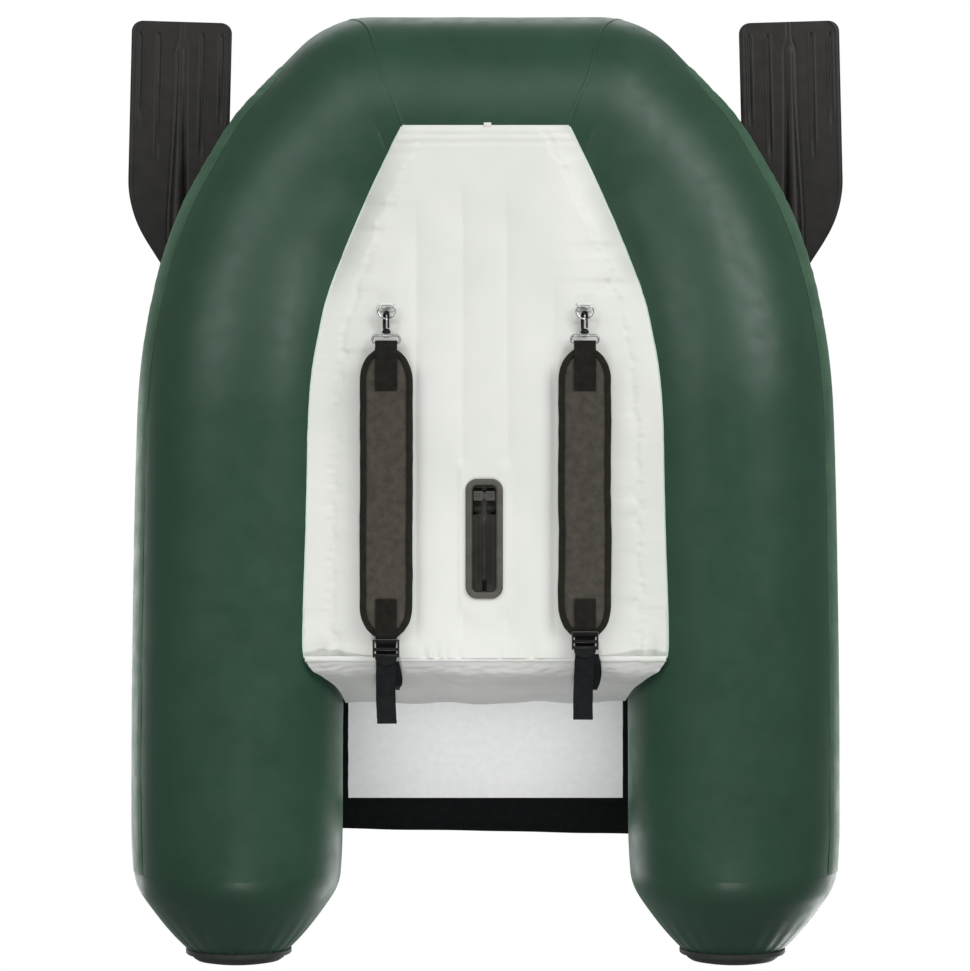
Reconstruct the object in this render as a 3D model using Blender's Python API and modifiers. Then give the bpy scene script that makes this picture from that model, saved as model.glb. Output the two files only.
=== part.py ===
"""Inflatable float tube with two stowed oars, seen as it floats.

Metres, +Z up, +Y towards the closed bow, +X to starboard. The origin is on the
surface that the side tubes rest on, under the middle of the whole boat.
"""

import math

import bmesh
import bpy
from mathutils import Matrix, Vector

# ---------------------------------------------------------------- driving dimensions
GAP = 0.0003  # left between touching pieces
TUBE_CLEARANCE = 0.0015  # between a tube and the soft pieces fitted against it
STARBOARD, PORT = 1, -1
SIDE_NAMES = {STARBOARD: "starboard", PORT: "port"}

# hull tubes
TUBE_R = 0.1665
TUBE_SIDES = 24
FACET_TURN = math.pi / TUBE_SIDES  # puts a flat facet straight down
TUBE_CORNER_R = TUBE_R / math.cos(FACET_TURN)
CENTRE_LINE = [  # half of the U, from the stern to the bow corner
    (0.3930, -0.6287),
    (0.3925, -0.3500),
    (0.3890, -0.1000),
    (0.3855, 0.0500),
    (0.3810, 0.1500),
    (0.3720, 0.2250),
    (0.3570, 0.3000),
    (0.3340, 0.3700),
    (0.3030, 0.4300),
    (0.2680, 0.4820),
    (0.2315, 0.5175),
    (0.1780, 0.5690),
    (0.1120, 0.5690),
]
BOW_Y = CENTRE_LINE[-1][1]
BOW_RISE = 0.065
RISE_START_Y = 0.10
SIDE_SEAM_Y = 0.10  # where the side panel meets the bow quarter
MITRE_POINT = (0.1275, 0.569)
MITRE_TILT = math.radians(29.2)
CONE_END_Y = -0.7387
CONE_END_R = 0.0815
CONE_LIFT = 0.020
STERN_Y = -0.7625

# floor, flap and cushions
FLOOR_OUTLINE = [  # half width of the underside, from the rear edge to the bow
    (-0.2700, 0.2812),
    (-0.1700, 0.2800),
    (-0.0985, 0.2775),
    (0.0000, 0.2750),
    (0.1005, 0.2728),
    (0.1735, 0.2674),
    (0.2305, 0.2580),
    (0.2875, 0.2458),
    (0.3495, 0.2241),
    (0.4065, 0.2010),
    (0.4655, 0.1747),
    (0.5225, 0.1469),
    (0.5570, 0.1290),
]
FLOOR_Z = 0.033
FLOOR_BOW_Z = 0.0600
FLOOR_TOP_Z = 0.130
FLAP_PROFILE = [  # (y, z) of the outer face, from the floor to the seat's top
    (-0.2706, 0.0350),
    (-0.2962, 0.0490),
    (-0.3120, 0.0760),
    (-0.3311, 0.1110),
    (-0.3440, 0.1500),
    (-0.3470, 0.2000),
    (-0.3440, 0.2550),
]
FLAP_T = 0.008
SEAT_Y = (-0.3270, 0.0740)
SEAT_Z = (0.1303, 0.2700)
SEAT_HALF_WIDTH = 0.262
BACKREST_SIZE = (0.450, 0.090, 0.360)
BACKREST_HINGE = (0.0760, 0.2745)
BACKREST_LEAN = math.radians(12.0)

# fin box under the floor
FIN_X, FIN_Y = 0.002, -0.0855
FIN_FLANGE = (0.0555, 0.1830)
FIN_WELL = (0.0460, 0.1710)
FIN_CAVITY = (0.0385, 0.1630)
FIN_FLANGE_Z = (0.0285, 0.0325)
FIN_WELL_TOP_Z = 0.0560
FIN_CAVITY_TOP_Z = 0.0530
FIN_LEDGE_LENGTH = 0.119
FIN_SLOT_WIDTH = 0.0062

# carrying straps, hung under the floor
STRAP_X = 0.153
PAD_SIZE = (0.081, 0.451, 0.014)
PAD_Y = -0.0155
PAD_Z = 0.0200
WEB_WIDTH = 0.034
WEB_T = 0.0016
LOWER_WEB_WIDTH = 0.033
RING_BAR_Y, RING_Z = 0.2728, 0.0280
RING_HALF_WIDTH, RING_DROP = 0.0130, 0.0190
RING_WIRE_R = 0.0017
LOOP_TOP_Y, LOOP_BASE_Y, LOOP_Z = 0.2275, 0.2165, 0.0200
LOOP_WIDTH, LOOP_CORNER_R = 0.0424, 0.0042
LOOP_WIRE_R = 0.0016
HOOK_TILT = math.radians(60.0)
HOOK_R = 0.0067
HOOK_WIRE_R = 0.0021
HOOK_TOP_Y, HOOK_BASE_Y = 0.2573, 0.2345
GATE_FOOT_Y, GATE_TIP_Y = 0.2395, 0.2525
BUCKLE_SIZE = (0.041, 0.034, 0.0052)
BUCKLE_BAR = 0.0030
BUCKLE_Y, BUCKLE_Z = {STARBOARD: -0.2570, PORT: -0.2450}, 0.0080
TAIL_END_Y = {STARBOARD: -0.3696, PORT: -0.3634}

# oars and their oarlocks
OAR_X, OAR_Z, OARLOCK_Y = 0.505, 0.372, -0.165
OARLOCK_CANT = math.radians(17.0)
SHAFT_R = 0.0140
OAR_END_Y = -0.5875
GRIP_LENGTH, GRIP_R = 0.130, 0.0175
BLADE_ROOT_Y, BLADE_TIP_Y = 0.3425, 0.7625
BLADE_HALF_WIDTH = 0.083
BLADE_T = 0.0060
BLADE_CORNER_R = 0.018
COLLAR_R, COLLAR_LENGTH = 0.0220, 0.060
TRUNNION_R, TRUNNION_REACH = 0.0050, 0.0330
FORK_T, FORK_WIDTH = 0.0070, 0.026
BUTTON_R, BUTTON_PROUD = 0.0040, 0.0030
BUTTON_Y = 0.2000

# apron over the legs
APRON_Y = (-0.5700, -0.3100)
APRON_HALF_WIDTH = 0.318
APRON_Z, APRON_T = 0.3225, 0.0020
APRON_BAR_Y = (-0.5700, -0.5025)
APRON_BAR_T = 0.0110

# fittings on top of the tubes
VALVE_Y, VALVE_TURN = 0.0200, math.radians(30.0)
VALVE_FLANGE_R, VALVE_CAP_R = 0.032, 0.027
HANDLE_HALF_LENGTH, HANDLE_WIDTH, HANDLE_T = 0.105, 0.040, 0.0030

COLOURS = {  # name: (linear colour, roughness, metallic)
    "green_pvc": ((0.032, 0.064, 0.044), 0.45, 0.0),
    "white_pvc": ((0.78, 0.79, 0.75), 0.5, 0.0),
    "grey_pvc": ((0.42, 0.43, 0.42), 0.5, 0.0),
    "black_rubber": ((0.045, 0.048, 0.045), 0.6, 0.0),
    "fin_plastic": ((0.09, 0.09, 0.08), 0.5, 0.0),
    "chrome_wire": ((0.75, 0.75, 0.75), 0.15, 1.0),
    "black_zinc": ((0.02, 0.02, 0.02), 0.35, 1.0),
    "pad_cloth": ((0.065, 0.058, 0.05), 0.9, 0.0),
    "black_webbing": ((0.018, 0.016, 0.014), 0.85, 0.0),
    "black_plastic": ((0.02, 0.02, 0.02), 0.3, 0.0),
    "cushion_pvc": ((0.35, 0.36, 0.35), 0.5, 0.0),
    "aluminium": ((0.55, 0.56, 0.57), 0.35, 1.0),
    "blade_plastic": ((0.03, 0.028, 0.026), 0.4, 0.0),
    "steel": ((0.6, 0.6, 0.6), 0.3, 1.0),
}


# ---------------------------------------------------------------- scene and materials
def clear_scene():
    for obj in list(bpy.data.objects):
        bpy.data.objects.remove(obj, do_unlink=True)
    for name in ("float_tube", "cutters"):
        bpy.context.scene.collection.children.link(bpy.data.collections.new(name))


def material(name):
    if name in bpy.data.materials:
        return bpy.data.materials[name]
    colour, roughness, metallic = COLOURS[name]
    made = bpy.data.materials.new(name)
    made.use_nodes = True
    shader = made.node_tree.nodes["Principled BSDF"]
    shader.inputs["Base Color"].default_value = (*colour, 1.0)
    shader.inputs["Roughness"].default_value = roughness
    shader.inputs["Metallic"].default_value = metallic
    return made


def add_object(name, data, colour, matrix=None):
    """Link a part; a name with no colour is a cutter."""
    obj = bpy.data.objects.new(name, data)
    group = bpy.data.collections["float_tube" if colour else "cutters"]
    group.objects.link(obj)
    if matrix is not None:
        obj.matrix_world = matrix
    if colour:
        data.materials.append(material(colour))
    else:
        obj.hide_render = True
        obj.display_type = "WIRE"
    return obj


def from_bmesh(name, bm, colour, matrix=None):
    mesh = bpy.data.meshes.new(name)
    bmesh.ops.recalc_face_normals(bm, faces=bm.faces)
    bm.to_mesh(mesh)
    bm.free()
    return add_object(name, mesh, colour, matrix)


def to_mesh_object(obj, colour):
    """Turn a curve, or an object with modifiers, into a mesh with welded caps."""
    bpy.context.view_layer.update()
    seen = obj.evaluated_get(bpy.context.evaluated_depsgraph_get())
    mesh = bpy.data.meshes.new_from_object(seen)
    bm = bmesh.new()
    bm.from_mesh(mesh)
    bmesh.ops.remove_doubles(bm, verts=bm.verts, dist=0.00002)
    bmesh.ops.recalc_face_normals(bm, faces=bm.faces)
    bm.to_mesh(mesh)
    bm.free()
    name, matrix = obj.name, obj.matrix_world.copy()
    bpy.data.objects.remove(obj, do_unlink=True)
    mesh.materials.clear()
    return add_object(name, mesh, colour, matrix)


def boolean(obj, cutter, operation="DIFFERENCE"):
    step = obj.modifiers.new(operation.lower(), "BOOLEAN")
    step.operation = operation
    step.object = cutter
    step.solver = "EXACT"
    return obj


def shade_round(obj):
    obj.data.shade_smooth()
    obj.data.set_sharp_from_angle(angle=math.radians(35))
    return obj


# ---------------------------------------------------------------- frames and points
def frame(origin, x_axis, y_axis, z_axis):
    """A matrix from an origin and three unit axes."""
    turn = Matrix((x_axis, y_axis, z_axis)).transposed().to_4x4()
    return Matrix.Translation(origin) @ turn


def along_y(origin, side=STARBOARD):
    """Local +Z runs towards the bow, local +X outboard."""
    x_axis = Vector((side, 0, 0))
    z_axis = Vector((0, 1, 0))
    return frame(origin, x_axis, z_axis.cross(x_axis), z_axis)


def smooth_step(value):
    value = min(max(value, 0.0), 1.0)
    return value * value * (3.0 - 2.0 * value)


def interpolate(table, place):
    """Read a table of (place, value) rows with a smooth curve through them."""
    if place <= table[0][0]:
        return table[0][1]
    if place >= table[-1][0]:
        return table[-1][1]
    row = max(i for i in range(len(table) - 1) if table[i][0] <= place)
    before = table[max(row - 1, 0)]
    low, high = table[row], table[row + 1]
    after = table[min(row + 2, len(table) - 1)]
    span = high[0] - low[0]
    part = (place - low[0]) / span
    slope_low = (high[1] - before[1]) / (high[0] - before[0]) * span
    slope_high = (after[1] - low[1]) / (after[0] - low[0]) * span
    return (
        (2 * part**3 - 3 * part**2 + 1) * low[1]
        + (part**3 - 2 * part**2 + part) * slope_low
        + (3 * part**2 - 2 * part**3) * high[1]
        + (part**3 - part**2) * slope_high
    )


def tube_z(y):
    return TUBE_R + BOW_RISE * smooth_step((y - RISE_START_Y) / (BOW_Y - RISE_START_Y))


def floor_z(y):
    climb = smooth_step((y - RISE_START_Y) / (FLOOR_OUTLINE[-1][0] - RISE_START_Y))
    return FLOOR_Z + (FLOOR_BOW_Z - FLOOR_Z) * climb


def oarlock_frame(side):
    """Origin on the oar's axis; local z is the canted swivel pin, y the oar."""
    z_axis = Vector((side * math.sin(OARLOCK_CANT), 0, math.cos(OARLOCK_CANT)))
    y_axis = Vector((0, 1, 0))
    origin = (side * OAR_X, OARLOCK_Y, OAR_Z)
    return frame(origin, y_axis.cross(z_axis), y_axis, z_axis)


# ---------------------------------------------------------------- shape makers
def block(name, low, high, colour, bevel=0.0, matrix=None):
    size = [high[i] - low[i] for i in range(3)]
    centre = [(high[i] + low[i]) / 2 for i in range(3)]
    bm = bmesh.new()
    bmesh.ops.create_cube(bm, size=1.0)
    bmesh.ops.scale(bm, vec=size, verts=bm.verts)
    if bevel:
        bmesh.ops.bevel(
            bm,
            geom=bm.edges[:],
            offset=bevel,
            segments=2,
            profile=0.5,
            affect="EDGES",
        )
    place = Matrix.Translation(centre)
    return from_bmesh(name, bm, colour, place if matrix is None else matrix @ place)


def cylinder(name, radius, z_low, z_high, colour, matrix, sides=20, top_radius=None):
    bm = bmesh.new()
    bmesh.ops.create_cone(
        bm,
        cap_ends=True,
        segments=sides,
        radius1=radius,
        radius2=radius if top_radius is None else top_radius,
        depth=z_high - z_low,
    )
    place = matrix @ Matrix.Translation((0, 0, (z_low + z_high) / 2))
    return from_bmesh(name, bm, colour, place)


def turned(name, profile, colour, matrix, steps=TUBE_SIDES, turn=0.0):
    """Turn a (radius, height) profile, top to bottom, about local z."""
    mesh = bpy.data.meshes.new(name)
    bm = bmesh.new()
    rim = [bm.verts.new((radius, 0, height)) for radius, height in profile]
    for upper, lower in zip(rim, rim[1:]):
        bm.edges.new((upper, lower))
    bmesh.ops.rotate(bm, verts=bm.verts, matrix=Matrix.Rotation(turn, 3, "Z"))
    bm.to_mesh(mesh)
    bm.free()
    obj = add_object(name, mesh, None, matrix)
    screw = obj.modifiers.new("turn", "SCREW")
    screw.steps = steps
    screw.render_steps = steps
    screw.use_merge_vertices = True
    screw.merge_threshold = 0.00005
    return shade_round(to_mesh_object(obj, colour))


def rod(name, points, radius, colour, cyclic=False, sides=8, tilt=0.0):
    """A round bar through the points."""
    curve = bpy.data.curves.new(name, "CURVE")
    curve.dimensions = "3D"
    curve.twist_mode = "Z_UP"
    curve.bevel_depth = radius
    curve.bevel_resolution = (sides - 4) // 2
    curve.use_fill_caps = True
    spline = curve.splines.new("POLY")
    spline.points.add(len(points) - 1)
    for knot, place in zip(spline.points, points):
        knot.co = (*place, 1.0)
        knot.tilt = tilt
    spline.use_cyclic_u = cyclic
    return shade_round(to_mesh_object(add_object(name, curve, None), colour))


def plate(name, outline, z_low, z_high, colour, matrix=None):
    """A flat outline in local x and y, given its thickness along local z."""
    curve = bpy.data.curves.new(name, "CURVE")
    curve.dimensions = "2D"
    curve.fill_mode = "BOTH"
    curve.extrude = (z_high - z_low) / 2
    spline = curve.splines.new("POLY")
    spline.points.add(len(outline) - 1)
    for knot, (x, y) in zip(spline.points, outline):
        knot.co = (x, y, 0.0, 1.0)
    spline.use_cyclic_u = True
    place = Matrix.Translation((0, 0, (z_low + z_high) / 2))
    made = add_object(name, curve, None, place if matrix is None else matrix @ place)
    return to_mesh_object(made, colour)


def ribbon(name, path, width, thickness, colour, x_centre=0.0):
    """Webbing that follows a (y, z) path, with its width along x."""
    curve = bpy.data.curves.new(name, "CURVE")
    curve.dimensions = "2D"
    curve.extrude = width / 2
    spline = curve.splines.new("POLY")
    spline.points.add(len(path) - 1)
    for knot, (y, z) in zip(spline.points, path):
        knot.co = (y, z, 0.0, 1.0)
    place = frame((x_centre, 0, 0), (0, 1, 0), (0, 0, 1), (1, 0, 0))
    made = add_object(name, curve, None, place)
    wall = made.modifiers.new("wall", "SOLIDIFY")
    wall.thickness = thickness
    wall.offset = 0.0
    wall.use_even_offset = True
    return to_mesh_object(made, colour)


def rounded_outline(width, length, radius, steps=4, centre=(0.0, 0.0)):
    """A rectangle with round corners, as (x, y) points."""
    points = []
    for quarter in range(4):
        start = quarter * math.pi / 2
        corner_x = (width / 2 - radius) * (1 if quarter in (0, 3) else -1)
        corner_y = (length / 2 - radius) * (1 if quarter in (0, 1) else -1)
        for step in range(steps + 1):
            angle = start + step * math.pi / 2 / steps
            x = centre[0] + corner_x + radius * math.cos(angle)
            y = centre[1] + corner_y + radius * math.sin(angle)
            points.append((x, y))
    return points


def arc(centre, radius, start, end, steps):
    """Points on an arc, angles in degrees."""
    return [
        (
            centre[0] + radius * math.cos(math.radians(start + (end - start) * i / steps)),
            centre[1] + radius * math.sin(math.radians(start + (end - start) * i / steps)),
        )
        for i in range(steps + 1)
    ]


def mirrored(points, side):
    """Points laid out for starboard, given to the named side."""
    return [(side * x, y, z) for x, y, z in points]


# ---------------------------------------------------------------- hull tubes
def hull_tube(name, growth, colour):
    """The whole U of the hull in one piece, grown by the given amount."""
    starboard = [(x, y, tube_z(y)) for x, y in CENTRE_LINE]
    port = [(-x, y, z) for x, y, z in reversed(starboard)]
    radius = TUBE_CORNER_R + growth
    return rod(name, starboard + port, radius, colour, sides=TUBE_SIDES, tilt=FACET_TURN)


def keep_between(name, planes, colour):
    """A piece of the hull tube, kept behind each (point, normal) plane."""
    whole = hull_tube(name, 0.0, colour)
    bm = bmesh.new()
    bm.from_mesh(whole.data)
    for point, normal in planes:
        cut = bmesh.ops.bisect_plane(
            bm,
            geom=bm.verts[:] + bm.edges[:] + bm.faces[:],
            dist=0.000001,
            plane_co=point,
            plane_no=normal,
            clear_outer=True,
        )
        rim = [item for item in cut["geom_cut"] if isinstance(item, bmesh.types.BMEdge)]
        bmesh.ops.contextual_create(bm, geom=rim)
    bmesh.ops.recalc_face_normals(bm, faces=bm.faces)
    bm.to_mesh(whole.data)
    bm.free()
    return shade_round(whole)


def make_tubes():
    normal = (math.cos(MITRE_TILT), -math.sin(MITRE_TILT), 0)
    bow_planes = []
    for side in (STARBOARD, PORT):
        outward = Vector((side * normal[0], normal[1], 0))
        corner = Vector((side * MITRE_POINT[0], MITRE_POINT[1], 0))
        bow_planes.append((corner - outward * GAP / 2, outward))
        seam = Vector((0, SIDE_SEAM_Y, 0))
        forward = Vector((0, 1, 0))
        inboard = (Vector((side * 0.01, 0, 0)), Vector((-side, 0, 0)))
        keep_between(
            f"{SIDE_NAMES[side]}_quarter_tube",
            [(corner + outward * GAP / 2, -outward), (seam + forward * GAP / 2, -forward)],
            "green_pvc",
        )
        keep_between(
            f"{SIDE_NAMES[side]}_side_tube",
            [(seam - forward * GAP / 2, forward), inboard],
            "green_pvc",
        )
    keep_between("bow_tube", bow_planes, "green_pvc")


def make_sterns():
    """Stern cones and their moulded end caps; each cone's axis climbs a little."""
    start_y = CENTRE_LINE[0][1] - GAP
    for side in (STARBOARD, PORT):
        name = SIDE_NAMES[side]
        place = along_y((side * CENTRE_LINE[0][0], start_y, TUBE_R), side)
        depth = start_y - CONE_END_Y
        shoulder = [(0.0, 0.0), (TUBE_CORNER_R, 0.0), (0.1590, -0.30), (0.1450, -0.52)]
        rest = [(0.1180, -0.80), (CONE_END_R, -1.0), (0.0, -1.0)]
        profile = [(radius, z * depth if z else 0.0) for radius, z in shoulder + rest]
        cone = turned(f"{name}_stern_cone", profile, "green_pvc", place, turn=FACET_TURN)
        cap_place = along_y((side * CENTRE_LINE[0][0], CONE_END_Y - GAP, TUBE_R), side)
        deep = CONE_END_Y - GAP - STERN_Y
        dome = [(0.0, 0.0), (0.0840, 0.0), (0.0840, -0.35), (0.0720, -0.75), (0.0400, -1.0)]
        cap_profile = [(radius, z * deep) for radius, z in dome + [(0.0, -1.0)]]
        cap = turned(f"{name}_end_cap", cap_profile, "black_rubber", cap_place)
        for piece in (cone, cap):
            lift_stern(piece)


def lift_stern(piece):
    """Raise each point with its distance behind the straight tube."""
    to_world = piece.matrix_world
    to_local = to_world.inverted()
    start = CENTRE_LINE[0][1] - GAP
    for vert in piece.data.vertices:
        place = to_world @ vert.co
        behind = max(start - place.y, 0.0) / (start - CONE_END_Y)
        place.z += CONE_LIFT * min(behind, 1.0)
        vert.co = to_local @ place


# ---------------------------------------------------------------- floor and cushions
def floor_sheet(name, half_width_scale=1.0):
    """The floor's underside as an open sheet."""
    bm = bmesh.new()
    bmesh.ops.create_grid(bm, x_segments=4, y_segments=14, size=1.0)
    y_low, y_high = FLOOR_OUTLINE[0][0], FLOOR_OUTLINE[-1][0]
    for vert in bm.verts:
        y = y_low + (vert.co.y + 1.0) / 2.0 * (y_high - y_low)
        half_width = interpolate(FLOOR_OUTLINE, y) * half_width_scale
        vert.co = (vert.co.x * half_width, y, floor_z(y))
    mesh = bpy.data.meshes.new(name)
    bm.to_mesh(mesh)
    bm.free()
    return mesh


def make_floor(tube_cutter):
    floor = add_object("air_floor", floor_sheet("air_floor"), "white_pvc")
    bm = bmesh.new()
    bm.from_mesh(floor.data)
    top = bmesh.ops.extrude_face_region(bm, geom=bm.faces[:])
    for item in top["geom"]:
        if isinstance(item, bmesh.types.BMVert):
            item.co.z = FLOOR_TOP_Z
    bmesh.ops.recalc_face_normals(bm, faces=bm.faces)
    bm.to_mesh(floor.data)
    bm.free()
    boolean(floor, tube_cutter)
    hole = rounded_outline(FIN_WELL[0] + 2 * GAP, FIN_WELL[1] + 2 * GAP, 0.012)
    place = Matrix.Translation((FIN_X, FIN_Y, 0))
    well_top = FIN_WELL_TOP_Z + GAP
    boolean(floor, plate("fin_well_cutter", hole, 0.0, well_top, None, place))
    return floor


def make_flap(tube_cutter):
    """The panel that turns up from the floor to the seat's front."""
    half_width = SEAT_HALF_WIDTH + 0.020
    flap = ribbon("rear_flap", FLAP_PROFILE, 2 * half_width, FLAP_T, "grey_pvc")
    for vert in flap.data.vertices:
        place = flap.matrix_world @ vert.co
        place.y += FLAP_T / 2
        vert.co = flap.matrix_world.inverted() @ place
    floor_side = (-0.3, FLOOR_OUTLINE[0][0] - GAP, 0.0)
    boolean(flap, tube_cutter)
    boolean(flap, block("flap_front_cutter", floor_side, (0.3, 0.0, 0.3), None))
    return flap


def make_cushions(tube_cutter):
    low = (-SEAT_HALF_WIDTH, SEAT_Y[0], SEAT_Z[0])
    high = (SEAT_HALF_WIDTH, SEAT_Y[1], SEAT_Z[1])
    seat = block("seat_cushion", low, high, "cushion_pvc")
    boolean(seat, tube_cutter)
    width, thickness, height = BACKREST_SIZE
    hinge = Matrix.Translation((0, *BACKREST_HINGE))
    lean = hinge @ Matrix.Rotation(-BACKREST_LEAN, 4, "X")
    size_low, size_high = (-width / 2, 0, 0), (width / 2, thickness, height)
    back = block("backrest", size_low, size_high, "cushion_pvc", 0.018, lean)
    move_origin(back, hinge.translation)


def move_origin(obj, point):
    """Put an object's origin on its joint's axis and leave its shape in place."""
    bpy.context.view_layer.update()
    old = obj.matrix_world.copy()
    new = old.copy()
    new.translation = point
    obj.data.transform(new.inverted() @ old)
    obj.matrix_world = new


# ---------------------------------------------------------------- fin box
def make_fin_box():
    place = Matrix.Translation((FIN_X, FIN_Y, 0))
    low, high = FIN_FLANGE_Z
    flange = rounded_outline(*FIN_FLANGE, 0.017)
    well = rounded_outline(*FIN_WELL, 0.012)
    cavity = rounded_outline(*FIN_CAVITY, 0.007)
    box = plate("fin_box", flange, low, high, "fin_plastic", place)
    body = plate("fin_well", well, high - 0.001, FIN_WELL_TOP_Z, None, place)
    hollow = plate("fin_hollow", cavity, low - 0.01, FIN_CAVITY_TOP_Z, None, place)
    boolean(box, body, "UNION")
    boolean(box, hollow)
    stern_end = FIN_Y - FIN_CAVITY[1] / 2
    for side in (STARBOARD, PORT):
        near = FIN_X + side * FIN_SLOT_WIDTH / 2
        far = FIN_X + side * (FIN_CAVITY[0] / 2 + 0.001)
        ledge_low = (min(near, far), stern_end + 0.001, low + 0.003)
        ledge_high = (max(near, far), stern_end + FIN_LEDGE_LENGTH, low + 0.007)
        ledge = block(f"fin_ledge_{SIDE_NAMES[side]}", ledge_low, ledge_high, None)
        boolean(box, ledge, "UNION")
    bow_end = FIN_Y + FIN_CAVITY[1] / 2
    latch_low = (FIN_X - 0.0165, bow_end - 0.0225, low + 0.003)
    latch_high = (FIN_X + 0.0165, bow_end - 0.0080, low + 0.011)
    block("fin_lock_slider", latch_low, latch_high, "black_plastic", 0.0012)


# ---------------------------------------------------------------- carrying straps
def make_strap_anchor(side):
    """Sewn patch with a sleeve, and the D-ring that turns in it."""
    name = SIDE_NAMES[side]
    x = side * STRAP_X
    slope = (floor_z(RING_BAR_Y + 0.01) - floor_z(RING_BAR_Y - 0.01)) / 0.02
    tilt = Matrix.Rotation(math.atan(slope), 4, "X")
    top = Matrix.Translation((x, RING_BAR_Y, floor_z(RING_BAR_Y) - 0.0006)) @ tilt
    patch = plate(
        f"{name}_ring_patch",
        rounded_outline(0.036, 0.030, 0.006),
        -0.0024,
        0.0,
        "white_pvc",
        top,
    )
    sleeve_low = (-0.0080, -0.0042, RING_Z - 0.0042 - floor_z(RING_BAR_Y))
    lift = Matrix.Translation((x, RING_BAR_Y, floor_z(RING_BAR_Y)))
    sleeve = block(f"{name}_sleeve", sleeve_low, (0.0080, 0.0042, -0.0020), None, 0.0, lift)
    axis = frame((x, RING_BAR_Y, RING_Z), (0, 1, 0), (0, 0, 1), (1, 0, 0))
    bore = cylinder(f"{name}_ring_bore", RING_WIRE_R + 0.0006, -0.02, 0.02, None, axis, 16)
    boolean(patch, sleeve, "UNION")
    boolean(patch, bore)
    bend_x = RING_HALF_WIDTH - 0.003
    bottom = [
        (x + RING_HALF_WIDTH * math.cos(angle), RING_BAR_Y - 0.006 + drop, RING_Z)
        for angle, drop in (
            (math.radians(step), (RING_DROP - 0.006) * math.sin(math.radians(step)))
            for step in (0, -25, -50, -70, -90, -110, -130, -155, -180)
        )
    ]
    top_bar = [(x - bend_x, RING_BAR_Y, RING_Z), (x + bend_x, RING_BAR_Y, RING_Z)]
    corner_left = (x - RING_HALF_WIDTH, RING_BAR_Y - 0.003, RING_Z)
    corner_right = (x + RING_HALF_WIDTH, RING_BAR_Y - 0.003, RING_Z)
    loop = bottom + [corner_left] + top_bar + [corner_right]
    ring = rod(f"{name}_d_ring", loop, RING_WIRE_R, "chrome_wire", cyclic=True)
    move_origin(ring, (x, RING_BAR_Y, RING_Z))


def make_hook(side):
    """Snap hook, its sprung gate and the wire loop that it swivels on."""
    name = SIDE_NAMES[side]
    centre_x = side * STRAP_X
    across = Vector((math.cos(HOOK_TILT), 0, math.sin(HOOK_TILT)))
    centre = Vector((centre_x, 0, RING_Z))
    spine = [centre + across * HOOK_R + Vector((0, HOOK_BASE_Y, 0))]
    for step in range(0, 201, 20):
        angle = math.radians(step)
        reach = across * HOOK_R * math.cos(angle)
        spine.append(centre + reach + Vector((0, HOOK_TOP_Y + HOOK_R * math.sin(angle), 0)))
    hook = rod(f"{name}_snap_hook", spine, HOOK_WIRE_R, "black_zinc")
    foot_low, foot_high = HOOK_BASE_Y - 0.0035, HOOK_BASE_Y + 0.0015
    base = along_y(centre)
    boss = cylinder(f"{name}_hook_boss", 0.0095, foot_low, foot_high, None, base, 16)
    boolean(hook, boss, "UNION")
    gate_foot = centre - across * HOOK_R + Vector((0, GATE_FOOT_Y, 0))
    gate_tip = centre - across * HOOK_R + Vector((0, GATE_TIP_Y, 0))
    gate = rod(f"{name}_snap_gate", [gate_foot, gate_tip], 0.0016, "black_zinc")
    move_origin(gate, gate_foot)
    middle = (centre_x, (LOOP_TOP_Y + LOOP_BASE_Y) / 2)
    bend = rounded_outline(LOOP_WIDTH, LOOP_TOP_Y - LOOP_BASE_Y, LOOP_CORNER_R, 4, middle)
    points = [(px, py, LOOP_Z) for px, py in bend]
    loop = rod(f"{name}_swivel_loop", points, LOOP_WIRE_R, "chrome_wire", cyclic=True)
    barrel_base = Matrix.Translation((centre_x, 0, (LOOP_Z + RING_Z) / 2))
    barrel_low, barrel_high = (-0.0038, LOOP_TOP_Y - 0.0026), (0.0038, foot_low - GAP)
    barrel = block(
        f"{name}_swivel_barrel",
        (barrel_low[0], barrel_low[1], -0.0058),
        (barrel_high[0], barrel_high[1], 0.0070),
        None,
        0.0,
        barrel_base,
    )
    boolean(loop, barrel, "UNION")
    move_origin(hook, (centre_x, HOOK_BASE_Y, RING_Z))


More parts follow.
